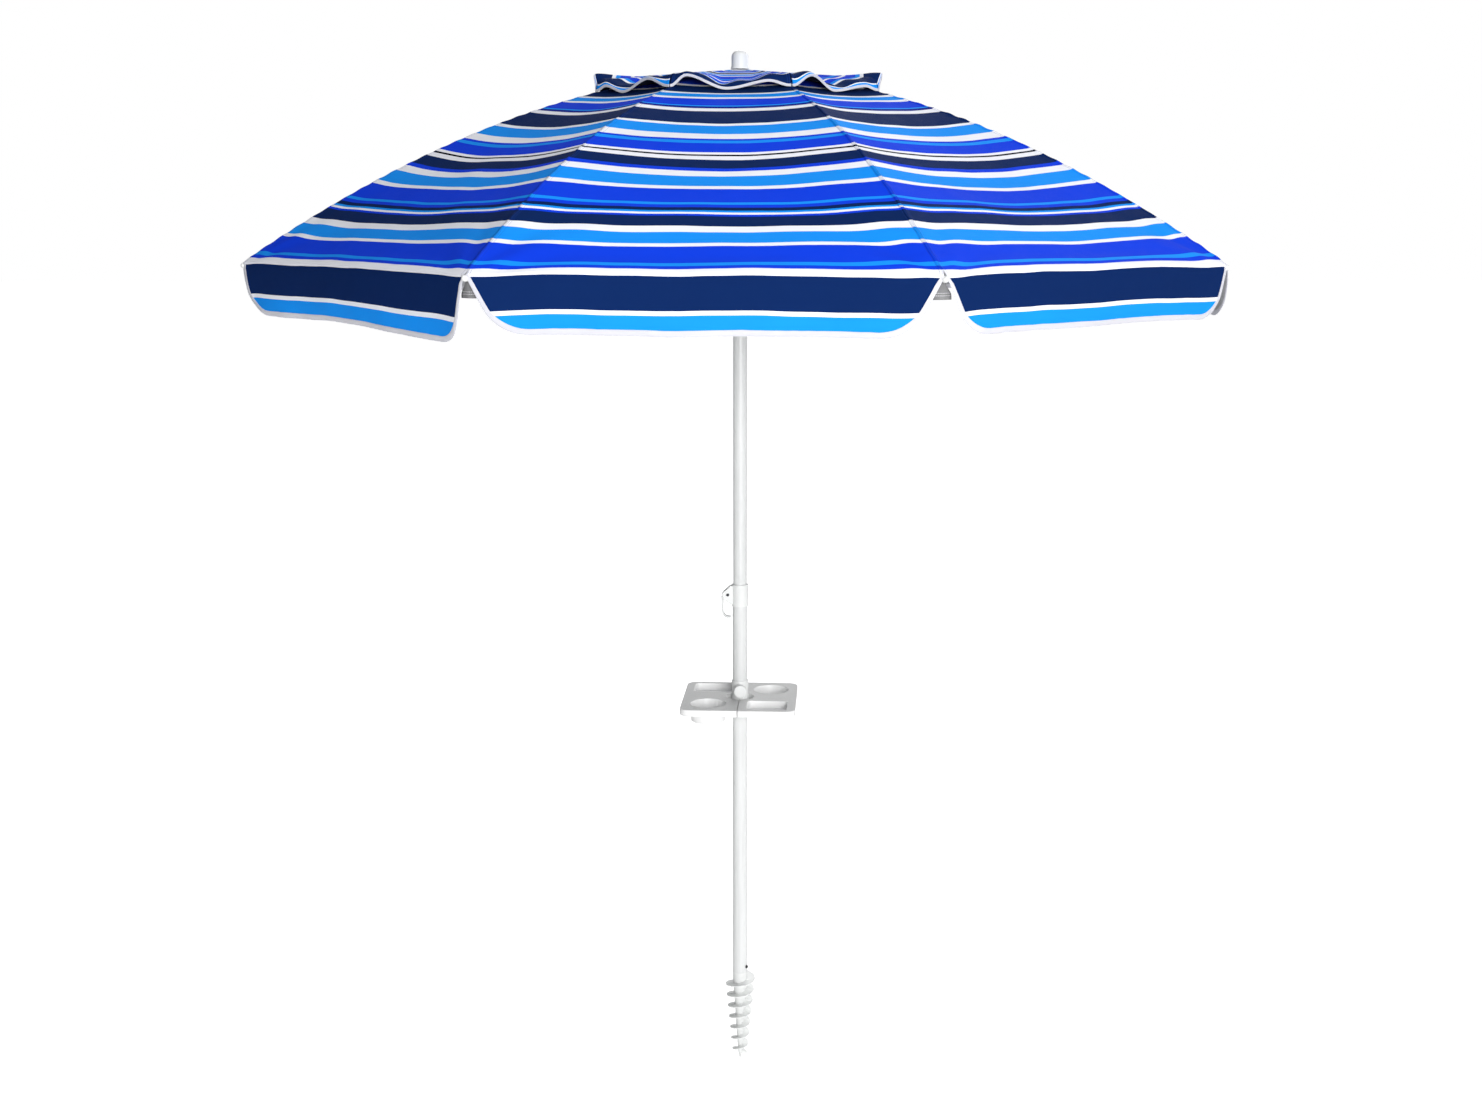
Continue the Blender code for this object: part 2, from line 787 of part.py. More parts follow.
def build_stretchers():
    ahead = Vector((JOINT[0] - RUNNER_PIVOT[0], JOINT[1] - RUNNER_PIVOT[1]))
    along = ahead.normalized()
    low, high = Vector(RUNNER_PIVOT), Vector(JOINT)
    neck = 0.012
    tube_low, tube_high = low + along * neck, high - along * neck
    line = [(p.x, 0, p.y) for p in (tube_low, (tube_low + tube_high) / 2, tube_high)]
    mesh = combine(
        wire(line, RIB_R, 1),
        ("UNION", flat_end(low, tube_low + along * 0.004, 0.0042, 0.005)),
        ("UNION", flat_end(high, tube_high - along * 0.004, 0.0042, 0.005)),
        ("DIFFERENCE", pin_hole(low, CROWN_HOLE_R)),
        ("DIFFERENCE", pin_hole(high, RIVET_HOLE_R)),
    )
    set_round("stretcher", mesh, GLASSFIBRE, JOINT)


# ---------------------------------------------------------------- canopy


def sheet(rows, columns, place):
    """A grid whose point (across, row) is moved to place(across, row), then thickened downwards."""
    bpy.ops.mesh.primitive_grid_add(x_subdivisions=columns, y_subdivisions=rows, size=2)
    made = bpy.context.object
    for v in made.data.vertices:
        row = round((v.co.y + 1) / 2 * rows)
        v.co = place(v.co.x, row)
    mesh = made.data
    bpy.data.objects.remove(made)
    shape = bmesh.new()
    shape.from_mesh(mesh)
    bmesh.ops.recalc_face_normals(shape, faces=shape.faces)
    if sum(face.normal.z for face in shape.faces) < 0:
        bmesh.ops.reverse_faces(shape, faces=shape.faces)
    shape.to_mesh(mesh)
    shape.free()
    piece = rough(mesh)
    skin = piece.modifiers.new("fabric", "SOLIDIFY")
    skin.thickness = FABRIC
    skin.offset = -1
    skin.use_even_offset = True
    return finished(piece)


def canopy_panel():
    """One panel between two ribs, with its hanging edge. Drawn with the panel's middle along +X."""
    rows_down, rows_hem = 7, 2
    half = STEP / 2

    def sag(r):
        share = (r - CANOPY_HOLE_R) / (CANOPY_R - CANOPY_HOLE_R)
        return SAG * (1 - (2 * max(share, 0) - 1) ** 2)

    def place(across, row):
        if row <= rows_down:
            r = CANOPY_HOLE_R + (CANOPY_R - CANOPY_HOLE_R) * row / rows_down
            inset = CORNER_INSET if row == rows_down else SEAM_ALLOWANCE
            z = canopy_z(r) - sag(r) * (1 - across**2)
        else:
            drop = (row - rows_down) / rows_hem
            r = CANOPY_R
            inset = CORNER_INSET + 0.030 * drop**1.3
            z = canopy_z(r) - VALANCE * drop
        return Vector((r * cos(half), across * (r * sin(half) - inset), z))

    return sheet(rows_down + rows_hem, 6, place)


def vent_panel():
    """One panel of the small upper canopy, with its own short hanging edge."""
    rows_out, rows_hem = 2, 1
    inner = 0.012
    half = STEP / 2

    def place(across, row):
        share = min(row / rows_out, 1)
        r = inner + (VENT_R - inner) * share
        z = VENT_TOP_Z - (VENT_FALL + VENT_SAG * (1 - across**2)) * share**2
        if row > rows_out:
            z = VENT_HEM_Z
        return Vector((r * cos(half), across * (r * sin(half) - SEAM_ALLOWANCE), z))

    return sheet(rows_out + rows_hem, 4, place)


def build_canopy():
    pivot = panel_pivot()
    to_first_rib = Matrix.Rotation(STEP / 2, 4, "Z") @ Matrix.Translation(-pivot)
    for name, mesh, look in (
        ("canopy_panel", canopy_panel(), BLUE),
        ("vent_panel", vent_panel(), NAVY),
    ):
        mesh.transform(to_first_rib)
        for number in range(RIBS):
            keep(f"{name}_{number + 1}", mesh, look, pivot, rib_angle(number))


def main():
    global parts
    clear_scene()
    parts = bpy.data.collections.new("beach_umbrella")
    bpy.context.scene.collection.children.link(parts)
    build_anchor()
    build_poles()
    build_collar()
    build_lever()
    build_tray()
    build_tray_collar()
    build_knob()
    build_crown()
    build_finial()
    build_runner()
    build_catch()
    build_ribs()
    build_rib_tips()
    build_stretchers()
    build_canopy()


main()
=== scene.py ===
"""The looks of the beach umbrella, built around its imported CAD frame.

Metres, +Z up. The origin is the tip of the sand anchor, on the pole's axis. The front faces -Y.
"""

import math
from math import cos, exp, pi, radians, sin, sqrt

import bmesh
import bpy
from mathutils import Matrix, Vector, noise


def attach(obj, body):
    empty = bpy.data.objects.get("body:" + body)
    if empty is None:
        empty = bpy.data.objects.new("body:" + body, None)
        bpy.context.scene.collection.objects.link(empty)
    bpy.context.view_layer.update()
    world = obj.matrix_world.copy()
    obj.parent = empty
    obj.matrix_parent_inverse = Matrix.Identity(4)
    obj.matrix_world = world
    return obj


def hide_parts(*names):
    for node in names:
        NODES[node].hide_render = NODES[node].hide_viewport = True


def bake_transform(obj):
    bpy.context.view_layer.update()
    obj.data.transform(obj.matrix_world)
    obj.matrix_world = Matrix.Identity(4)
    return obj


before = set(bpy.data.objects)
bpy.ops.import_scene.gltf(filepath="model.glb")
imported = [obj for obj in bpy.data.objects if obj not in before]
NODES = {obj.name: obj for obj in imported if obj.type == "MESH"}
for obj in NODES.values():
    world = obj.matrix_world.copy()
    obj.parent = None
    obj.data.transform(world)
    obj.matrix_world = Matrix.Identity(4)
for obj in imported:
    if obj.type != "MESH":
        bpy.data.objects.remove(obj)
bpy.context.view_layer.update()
scene = bpy.context.scene

# ---------------------------------------------------------------- the canopy's shape, as in the CAD source

RIBS = 8
STEP = 2 * pi / RIBS
HALF = STEP / 2
SIN_HALF = sin(HALF)
COS_HALF = cos(HALF)
FIRST_RIB = radians(-71.8)
APEX_Z = 2.163
CANOPY_R = 1.0
HOLE_R = 0.172
VENT_TOP_Z = 2.168
CLOTH = 0.0006
PROFILE = (0.052, 0.349, -0.028)


def canopy_z(r):
    """The canopy's height above a rib, at a distance from the axis."""
    return APEX_Z - sum(fall * r**power for power, fall in enumerate(PROFILE, 1))


def rib_angle(number):
    return FIRST_RIB + (number - 1) * STEP


def smooth(value, low, high):
    """0 below low, 1 above high, and an easy curve between them."""
    share = min(1.0, max(0.0, (value - low) / (high - low)))
    return share * share * (3 - 2 * share)


def between(value, table):
    """A value read off a table of (place, value) pairs, with an easy curve between each two."""
    if value <= table[0][0]:
        return table[0][1]
    for (x0, y0), (x1, y1) in zip(table, table[1:]):
        if value <= x1:
            return y0 + (y1 - y0) * smooth(value, x0, x1)
    return table[-1][1]


# ---------------------------------------------------------------- node materials


class Paint:
    """A material and the few calls that wire its nodes."""

    def __init__(self, name, roughness=0.5, metallic=0.0, specular=0.5):
        self.material = bpy.data.materials.new(name)
        self.material.use_nodes = True
        self.tree = self.material.node_tree
        self.shader = self.tree.nodes["Principled BSDF"]
        self.shader.inputs["Roughness"].default_value = roughness
        self.shader.inputs["Metallic"].default_value = metallic
        self.shader.inputs["Specular IOR Level"].default_value = specular

    def node(self, kind, **settings):
        made = self.tree.nodes.new(kind)
        for name, value in settings.items():
            setattr(made, name, value)
        return made

    def link(self, source, target):
        self.tree.links.new(source, target)

    def put(self, socket, value):
        """Sets a socket, or links it if the value is another node's output."""
        if isinstance(value, bpy.types.NodeSocket):
            self.link(value, socket)
        else:
            socket.default_value = value

    def math(self, operation, first, second=0.0):
        made = self.node("ShaderNodeMath", operation=operation)
        self.put(made.inputs[0], first)
        self.put(made.inputs[1], second)
        return made.outputs[0]

    def mix(self, share, first, second, mode="MIX"):
        made = self.node("ShaderNodeMix", data_type="RGBA", blend_type=mode)
        self.put(made.inputs[0], share)
        self.put(made.inputs[6], first)
        self.put(made.inputs[7], second)
        return made.outputs[2]

    def place(self):
        """A point's place in metres. Every mesh is made in the frame's own coordinates."""
        return self.node("ShaderNodeTexCoord").outputs["Object"]

    def cloth(self):
        """The two coordinates in the cloth's own plane, in metres: across it, and down it."""
        uv = self.node("ShaderNodeUVMap", uv_map="cloth")
        parts = self.node("ShaderNodeSeparateXYZ")
        self.link(uv.outputs[0], parts.inputs[0])
        return parts.outputs[0], parts.outputs[1]

    def noise(self, scale, detail=2.0, where=None, roughness=0.5):
        made = self.node("ShaderNodeTexNoise")
        made.inputs["Scale"].default_value = scale
        made.inputs["Detail"].default_value = detail
        made.inputs["Roughness"].default_value = roughness
        self.link(where or self.place(), made.inputs["Vector"])
        return made.outputs["Fac"]

    def steps(self, fac, stops, interpolation="LINEAR"):
        """Colours read off a ramp of (position, colour) stops."""
        made = self.node("ShaderNodeValToRGB")
        ramp = made.color_ramp
        ramp.interpolation = interpolation
        while len(ramp.elements) < len(stops):
            ramp.elements.new(0.5)
        for element, (position, colour) in zip(ramp.elements, stops):
            element.position = position
            element.color = (*colour, 1)
        self.put(made.inputs[0], fac)
        return made.outputs[0]

    def bump(self, height, strength, distance):
        """Adds a bump on top of those that the shader already has."""
        made = self.node("ShaderNodeBump")
        made.inputs["Strength"].default_value = strength
        made.inputs["Distance"].default_value = distance
        self.link(height, made.inputs["Height"])
        current = self.shader.inputs["Normal"]
        if current.is_linked:
            self.link(current.links[0].from_socket, made.inputs["Normal"])
        self.link(made.outputs[0], current)

    def colour(self, value):
        self.put(self.shader.inputs["Base Color"], value)

    def roughness(self, value):
        self.put(self.shader.inputs["Roughness"], value)

    def range(self, value, low, high):
        """Stretches a value from 0 to 1 so that it runs from low to high."""
        made = self.node("ShaderNodeMapRange")
        made.inputs["To Min"].default_value = low
        made.inputs["To Max"].default_value = high
        self.link(value, made.inputs["Value"])
        return made.outputs[0]


WHITE = (0.88, 0.89, 0.95)
SKY = (0.010, 0.285, 0.92)
ROYAL = (0.005, 0.050, 0.74)
DEEP = (0.004, 0.022, 0.27)
NAVY = (0.0030, 0.0185, 0.098)
BLACK = (0.004, 0.005, 0.012)

# The printed stripes, from the crown down: each stripe's width in millimetres along a rib, and its colour.
UPPER_STRIPES = (
    (30, NAVY), (10, WHITE), (30, ROYAL), (12, SKY), (10, WHITE), (65, NAVY),
    (11, WHITE), (30, ROYAL), (12, SKY), (52, ROYAL), (12, WHITE), (53, NAVY),
    (11, WHITE), (21.6, SKY), (10.6, WHITE), (36.1, ROYAL), (5, SKY), (10, DEEP), (14.6, WHITE),
    (59.6, NAVY), (10.8, WHITE), (38, SKY), (22.9, WHITE), (7.4, ROYAL), (10.2, SKY), (30.4, ROYAL),
    (9.8, WHITE), (3.5, BLACK), (14.1, WHITE),
)
LOWER_STRIPES = (
    (28.9, NAVY), (11.1, ROYAL), (19, WHITE), (35.8, SKY), (10.8, WHITE), (45.7, ROYAL), (6.2, SKY),
    (9.2, ROYAL), (9.1, NAVY), (6.1, SKY), (6, WHITE), (5.8, ROYAL), (28.8, NAVY), (16.3, WHITE),
    (32.7, SKY), (9.4, WHITE), (42.9, ROYAL), (10.2, SKY), (9.5, ROYAL), (15.3, WHITE), (56.5, NAVY),
    (8, WHITE), (50, SKY),
)
UPPER_END = 0.6425
UPPER_START = UPPER_END - sum(width for width, _ in UPPER_STRIPES) / 1000

# The vent cap's stripes, from its centre out to its hem.
VENT_STRIPES = (
    (22, WHITE), (26, SKY), (9, WHITE), (34, ROYAL), (8, SKY), (9, WHITE), (24, NAVY), (8, WHITE),
    (24, SKY),
    (8, WHITE), (30, ROYAL), (10, SKY), (9, ROYAL), (9, WHITE), (22, ROYAL), (9, SKY), (9, WHITE),
    (38, NAVY), (5, WHITE), (40, SKY),
)
FRONT_VENT_SHIFT = -0.019


def striped(paint, down, start, stripes):
    """Colour stops with hard edges for a list of stripes that begins at start metres."""
    total = sum(width for width, _ in stripes) / 1000
    fac = paint.math("DIVIDE", paint.math("SUBTRACT", down, start), total)
    stops, at = [], 0.0
    for width, colour in stripes:
        stops.append((at / total, colour))
        at += width / 1000
    return paint.steps(fac, stops, "CONSTANT")


# Threads and stitches, in metres, but for STITCH_SHARE, the part of its pitch that a stitch fills.
# A row of stitches is given by its distance from the edge that it follows.
WEAVE = 0.0009
TAPE_RIBS = 0.0012
STITCH_PITCH = 0.0034
STITCH_SHARE = 0.72
STITCH_HALF = 0.00045
STITCH_RELIEF = 0.0004
SEAM_STITCHES = (0.0022, 0.0062)
POCKET_STITCHES = (0.0165, 0.0205)
TAPE_STITCHES = 0.0016
# The width of the painted shadow line beside each seam.
SEAM_SHADOW_WIDTH = 0.0010
PRINT_WOBBLE = 0.0035


def woven(paint, across, down, strength=0.25):
    """Over-and-under threads of a plain weave."""
    turn = 2 * pi / WEAVE
    warp = paint.math("SINE", paint.math("MULTIPLY", across, turn))
    weft = paint.math("SINE", paint.math("MULTIPLY", down, turn))
    paint.bump(paint.math("MULTIPLY", warp, weft), strength, WEAVE / 4)


def stitches(paint, away, along, at):
    """1 on a row of stitches that runs at a distance from an edge, else 0."""
    near = paint.math("ABSOLUTE", paint.math("SUBTRACT", away, at))
    row = paint.math("LESS_THAN", near, STITCH_HALF)
    dash = paint.math("FRACT", paint.math("DIVIDE", along, STITCH_PITCH))
    return paint.math("MULTIPLY", row, paint.math("LESS_THAN", dash, STITCH_SHARE))


def two_rows(paint, away, along, places):
    """1 on either of two rows of stitches, else 0."""
    first, second = (stitches(paint, away, along, at) for at in places)
    return paint.math("ADD", first, second)


def canopy_cloth(name, stripes_of):
    """Printed polyester: hard-edged stripes, faint random changes of tone, a fine weave, sewn edges, and a
    thin painted shadow along each seam.
    """
    paint = Paint(name, roughness=0.80, specular=0.04)
    across, down = paint.cloth()
    wobble = paint.math("MULTIPLY", paint.math("SUBTRACT", paint.noise(9, 1), 0.5), PRINT_WOBBLE)
    colour = stripes_of(paint, paint.math("ADD", down, wobble))
    shade = paint.range(paint.noise(3.5, 3), 0.90, 1.10)
    shading = paint.node("ShaderNodeCombineXYZ")
    for socket in shading.inputs:
        paint.link(shade, socket)
    colour = paint.mix(0.8, colour, shading.outputs[0], "MULTIPLY")
    seam = paint.node("ShaderNodeAttribute", attribute_name="seam").outputs["Fac"]
    sewn = two_rows(paint, seam, down, SEAM_STITCHES)
    colour = paint.mix(paint.math("MULTIPLY", sewn, 0.55), colour, (0.02, 0.05, 0.30, 1))
    # Painted shadow: a thin dark line within a millimetre of each seam, where the lapped cloth's edge would
    # cast shade.
    painted_seam_shadow = paint.math("LESS_THAN", seam, SEAM_SHADOW_WIDTH)
    colour = paint.mix(paint.math("MULTIPLY", painted_seam_shadow, 0.28), colour, (0.01, 0.02, 0.08, 1))
    paint.colour(colour)
    paint.roughness(paint.range(paint.noise(40, 2), 0.72, 0.88))
    woven(paint, across, down)
    paint.bump(sewn, 0.3, STITCH_RELIEF)
    paint.bump(paint.noise(28, 3), 0.10, 0.004)
    return paint.material


def main_stripes(paint, down):
    upper = striped(paint, down, UPPER_START, UPPER_STRIPES)
    lower = striped(paint, down, UPPER_END, LOWER_STRIPES)
    return paint.mix(paint.math("GREATER_THAN", down, UPPER_END), upper, lower)


def vent_stripes(paint, down):
    return striped(paint, down, 0.0, VENT_STRIPES)


def silver_coating():
    """The underside's coating: dull silver that shows the weave, with faint wear lines."""
    paint = Paint("silver_coating", roughness=0.55, metallic=0.35, specular=0.4)
    across, down = paint.cloth()
    cloud = paint.noise(6, 4)
    paint.colour(paint.steps(cloud, ((0.3, (0.42, 0.43, 0.45)), (0.7, (0.56, 0.57, 0.59)))))
    paint.roughness(paint.range(paint.noise(60, 2), 0.48, 0.66))
    woven(paint, across, down, 0.35)
    return paint.material


def painted_shade_reverse():
    """The cap's inner side: dull cloth, painted near black as painted shade for the shaded gap under the
    cap's raised hem.
    """
    paint = Paint("painted_shade_reverse", roughness=0.85, specular=0.1)
    across, down = paint.cloth()
    cloud = paint.noise(8, 3)
    # Painted shade: near-black colour for the cap's shaded underside.
    paint.colour(paint.steps(cloud, ((0.3, (0.006, 0.008, 0.018)), (0.7, (0.014, 0.018, 0.036)))))
    paint.roughness(paint.range(paint.noise(60, 2), 0.78, 0.92))
    woven(paint, across, down, 0.3)
    return paint.material


def tape(name, colour):
    """Folded binding tape with fine cross ribs and one row of stitches."""
    paint = Paint(name, roughness=0.78, specular=0.25)
    across, along = paint.cloth()
    sewn = stitches(paint, across, along, TAPE_STITCHES)
    tint = paint.range(paint.noise(18, 2), 0.0, 0.35)
    base = paint.mix(tint, (*colour, 1), (*(c * 0.86 for c in colour), 1))
    paint.colour(paint.mix(paint.math("MULTIPLY", sewn, 0.5), base, (0.55, 0.56, 0.58, 1)))
    cross = paint.math("SINE", paint.math("MULTIPLY", along, 2 * pi / TAPE_RIBS))
    paint.bump(cross, 0.3, TAPE_RIBS / 5)
    paint.bump(sewn, 0.4, STITCH_RELIEF)
    paint.roughness(paint.range(paint.noise(90, 2), 0.70, 0.86))
    return paint.material


def pocket_cloth():
    """Grey cloth, painted darker than the silver underside as painted shade for where the pocket hangs,
    with two rows of stitches near its lower edge.
    """
    paint = Paint("pocket_cloth", roughness=0.85, specular=0.1)
    across, down = paint.cloth()
    rows = two_rows(paint, down, across, POCKET_STITCHES)
    # Painted shade: the dark grey stands in for the shade the pocket hangs in.
    base = paint.steps(paint.noise(30, 3), ((0.3, (0.17, 0.17, 0.175)), (0.7, (0.26, 0.26, 0.265))))
    paint.colour(paint.mix(rows, base, (0.62, 0.62, 0.64, 1)))
    paint.roughness(paint.range(paint.noise(70, 2), 0.78, 0.92))
    woven(paint, across, down, 0.3)
    paint.bump(rows, 0.4, STITCH_RELIEF)
    return paint.material


# The height of the tray's flat top, as in the CAD source.
TRAY_TOP_Z = 0.848


def moulded(name, colour, low=0.30, high=0.42):
    """Injection-moulded plastic: fine grain, faint flow marks, and handling marks that change the gloss."""
    paint = Paint(name, specular=0.45)
    cloud = paint.noise(14, 4)
    darker = tuple(c * 0.93 for c in colour)
    paint.colour(paint.steps(cloud, ((0.25, darker), (0.65, colour))))
    rubbed = paint.noise(55, 5, roughness=0.65)
    paint.roughness(paint.range(rubbed, low, high))
    paint.bump(paint.noise(1400, 2), 0.06, 0.0003)
    paint.bump(paint.noise(30, 2), 0.04, 0.003)
    return paint.material


def tray_plastic():
    """The tray's plastic: its flat top has a fine grain, is rougher, and is painted darker grey as painted
    shade; its cups, dishes and edges are polished and keep the plain colour.
    """
    paint = Paint("tray_plastic", specular=0.45)
    apart = paint.node("ShaderNodeSeparateXYZ")
    paint.link(paint.place(), apart.inputs[0])
    level = paint.node("ShaderNodeMapRange")
    level.inputs["From Min"].default_value = TRAY_TOP_Z - 0.0009
    level.inputs["From Max"].default_value = TRAY_TOP_Z - 0.0003
    paint.link(apart.outputs[2], level.inputs["Value"])
    cloud = paint.noise(14, 4)
    polished = paint.steps(cloud, ((0.25, (0.82, 0.82, 0.815)), (0.65, (0.87, 0.87, 0.865))))
    # Painted shade: the flat top's darker grey stands in for the shade that falls on it from above; only
    # the fine grain in it is the plastic's own.
    grain_and_painted_shade = paint.steps(paint.noise(700, 3), ((0.3, (0.61, 0.61, 0.60)), (0.7, (0.69, 0.69, 0.68))))
    paint.colour(paint.mix(level.outputs[0], polished, grain_and_painted_shade))
    rubbed = paint.range(paint.noise(55, 5, roughness=0.65), 0.0, 0.10)
    paint.roughness(paint.math("ADD", paint.range(level.outputs[0], 0.30, 0.46), rubbed))
    paint.bump(paint.math("MULTIPLY", paint.noise(1400, 2), level.outputs[0]), 0.10, 0.0003)
    paint.bump(paint.noise(30, 2), 0.04, 0.003)
    return paint.material


def coated_pole():
    """Powder-coated steel tube: orange-peel gloss and a few fine rubs along its length."""
    paint = Paint("pole_coating", specular=0.5)
    long_place = paint.node("ShaderNodeMapping")
    paint.link(paint.place(), long_place.inputs[0])
    long_place.inputs["Scale"].default_value = (1, 1, 0.04)
    streaks = paint.noise(160, 4, long_place.outputs[0])
    paint.colour(paint.steps(streaks, ((0.35, (0.68, 0.69, 0.685)), (0.6, (0.735, 0.745, 0.74)))))
    paint.roughness(paint.range(streaks, 0.24, 0.40))
    paint.shader.inputs["Coat Weight"].default_value = 0.25
    paint.shader.inputs["Coat Roughness"].default_value = 0.15
    paint.bump(paint.noise(420, 1), 0.10, 0.0004)
    return paint.material


def pulled_fibre():
    """Pultruded glass fibre: pale, with long fine streaks along the rod."""
    paint = Paint("glass_fibre", specular=0.45)
    streaks = paint.noise(240, 3)
    paint.colour(paint.steps(streaks, ((0.35, (0.62, 0.63, 0.62)), (0.65, (0.76, 0.77, 0.76)))))
    paint.roughness(paint.range(streaks, 0.34, 0.52))
    paint.bump(streaks, 0.12, 0.0003)
    return paint.material


def metal(name, colour, low, high):
    """Plated steel, with fine scratches and worn spots in its gloss."""
    paint = Paint(name, metallic=1.0)
    marks = paint.noise(300, 5, roughness=0.7)
    darker = tuple(c * 0.8 for c in colour)
    paint.colour(paint.steps(marks, ((0.3, darker), (0.6, colour))))
    paint.roughness(paint.range(marks, low, high))
    paint.bump(marks, 0.08, 0.0002)
    return paint.material


CANOPY = canopy_cloth("canopy_print", main_stripes)
VENT = canopy_cloth("vent_print", vent_stripes)
SILVER = silver_coating()
SHADE_REVERSE = painted_shade_reverse()
BINDING = tape("white_binding", (0.66, 0.66, 0.715))
POCKET = pocket_cloth()
PLASTIC = moulded("white_plastic", (0.79, 0.80, 0.79))
LEVER = moulded("lever_plastic", (0.66, 0.67, 0.665), 0.26, 0.38)
TRAY = tray_plastic()
POLE = coated_pole()
FIBRE = pulled_fibre()
DARK = metal("dark_steel", (0.06, 0.06, 0.065), 0.35, 0.55)
BRIGHT = metal("bright_steel", (0.62, 0.63, 0.65), 0.22, 0.40)


# ---------------------------------------------------------------- mesh tools


def piece(name, vertices, faces, materials, smooth_shaded=True):
    mesh = bpy.data.meshes.new(name)
    mesh.from_pydata([tuple(v) for v in vertices], [], faces)
    made = bpy.data.objects.new(name, mesh)
    scene.collection.objects.link(made)
    for material in materials:
        mesh.materials.append(material)
    if smooth_shaded:
        mesh.shade_smooth()
    return made


def write_cloth(mesh, places):
    """Stores each vertex's place in the flat cloth as the UV map named cloth."""
    uv = mesh.uv_layers.new(name="cloth")
    for loop in mesh.loops:
        uv.data[loop.index].uv = places[loop.vertex_index]


def write_values(mesh, name, values):
    attribute = mesh.attributes.new(name, "FLOAT", "POINT")
    attribute.data.foreach_set("value", values)


def thicken(made, thickness):
    """Gives a sheet its thickness. Its upper side and its rim keep the first material.

    Its lower side takes the second."""
    skin = made.modifiers.new("cloth", "SOLIDIFY")
    skin.thickness = thickness
    skin.offset = -1
    skin.material_offset = 1
    skin.material_offset_rim = 0
    apply_modifiers(made)


def grid_faces(rows, columns):
    """Faces of a sheet whose points run row by row."""
    width = columns + 1
    faces = []
    for row in range(rows):
        for column in range(columns):
            corner = row * width + column
            faces.append((corner, corner + width, corner + width + 1, corner + 1))
    return faces


def tube_faces(rings, sides):
    """Faces of a tube whose points run ring by ring, with a flat face on each end."""
    faces = []
    for n in range(rings - 1):
        for k in range(sides):
            a, b = n * sides + k, n * sides + (k + 1) % sides
            faces.append((a, b, b + sides, a + sides))
    last = (rings - 1) * sides
    faces.append(tuple(reversed(range(sides))))
    faces.append(tuple(range(last, last + sides)))
    return faces


class Cloth:
    """The points of one gore, with each one's place in the flat cloth, its distance from the nearest seam,
    and its share of the way from the gore's first rib to its second."""

    def __init__(self):
        self.points, self.places, self.seams, self.shares = [], [], [], []

    def add(self, point, place, seam, share):
        self.points.append(point)
        self.places.append(place)
        self.seams.append(seam)
        self.shares.append(share)

    def build(self, name, faces, materials):
        made = piece(name, self.points, faces, materials)
        write_cloth(made.data, self.places)
        write_values(made.data, "seam", self.seams)
        write_values(made.data, "share", self.shares)
        thicken(made, CLOTH)
        return made


def apply_modifiers(made):
    bpy.context.view_layer.update()
    seen = made.evaluated_get(bpy.context.evaluated_depsgraph_get())
    mesh = bpy.data.meshes.new_from_object(seen)
    made.modifiers.clear()
    made.data = mesh


def pleat(made, number, shares):
    """Bakes the piece's transform into its mesh and bends nothing: shares holds 0 at the first rib to 1 at
    the next.

    The share is across the gore and not along one line, because a gore narrows towards the crown. Shares is
    not used."""
    first, last = Vector((0, 0, 0)), Vector((0, 0, 0))
    for point, angle in ((first, rib_angle(number)), (last, rib_angle(number + 1))):
        point.x, point.y, point.z = cos(angle), sin(angle), 0
    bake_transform(made)


# ---------------------------------------------------------------- canopy gores

ROWS = 150
SIDE_COLUMNS = 26
COLUMN_CROWDING = 1.5
PUCKER_DEPTH = 0.0011
PUCKER_WAVE = 0.031
PUCKER_REACH = 0.016
SLACK_WIDE = 0.0026
SLACK_FINE = 0.0012
PULL_DEPTH = 0.0040
PULL_REACH = 0.13
HEM_STRAIGHT = 0.052
HEM_DROP = 0.098
HEM_LEAN = radians(26.5)
HEM_ROUND = (HEM_DROP - HEM_STRAIGHT) / (1 - sin(HEM_LEAN))
CORNER_INSET = 0.0028
FLAP_HALF = CANOPY_R * SIN_HALF - CORNER_INSET
LAP = 0.0055
LAP_LIFT = 0.0010
LAP_END = 0.984
FLAP_TUCK = 0.0022
FLAP_WAVE = 0.0050
FLAP_RIPPLE = 0.0020
FLAP_BELLY = 0.0045
FLAP_IN = 0.004
TAPE_FOLD = 0.0006
BINDING_THICK = 0.0010
BINDING_WIDTHS = ((0.0, 0.0045), (0.02, 0.0062), (0.06, 0.0074), (0.09, 0.0092))
SAG = (
    (0.17, 0.0), (0.33, 0.006), (0.45, 0.0105), (0.56, 0.0135), (0.66, 0.0175), (0.71, 0.0175),
    (0.76, 0.0150), (0.83, 0.0120), (0.88, 0.0100), (0.94, 0.0050), (1.0, -0.0035),
)


def columns():
    """Places across a gore from -1 to 1, closer together near the seams."""
    for n in range(-SIDE_COLUMNS, SIDE_COLUMNS + 1):
        share = abs(n) / SIDE_COLUMNS
        yield math.copysign(1 - (1 - share) ** COLUMN_CROWDING, n)


def seam_pucker(rib, r, away):
    """The small gathers that sewing leaves along a rib."""
    wave = sin(2 * pi * r / PUCKER_WAVE + 2.1 * rib)
    wave *= 0.6 + 0.6 * noise.noise((r * 9, rib * 3.7, 0))
    return PUCKER_DEPTH * wave * exp(-away / PUCKER_REACH) * smooth(r, 0.2, 0.3)


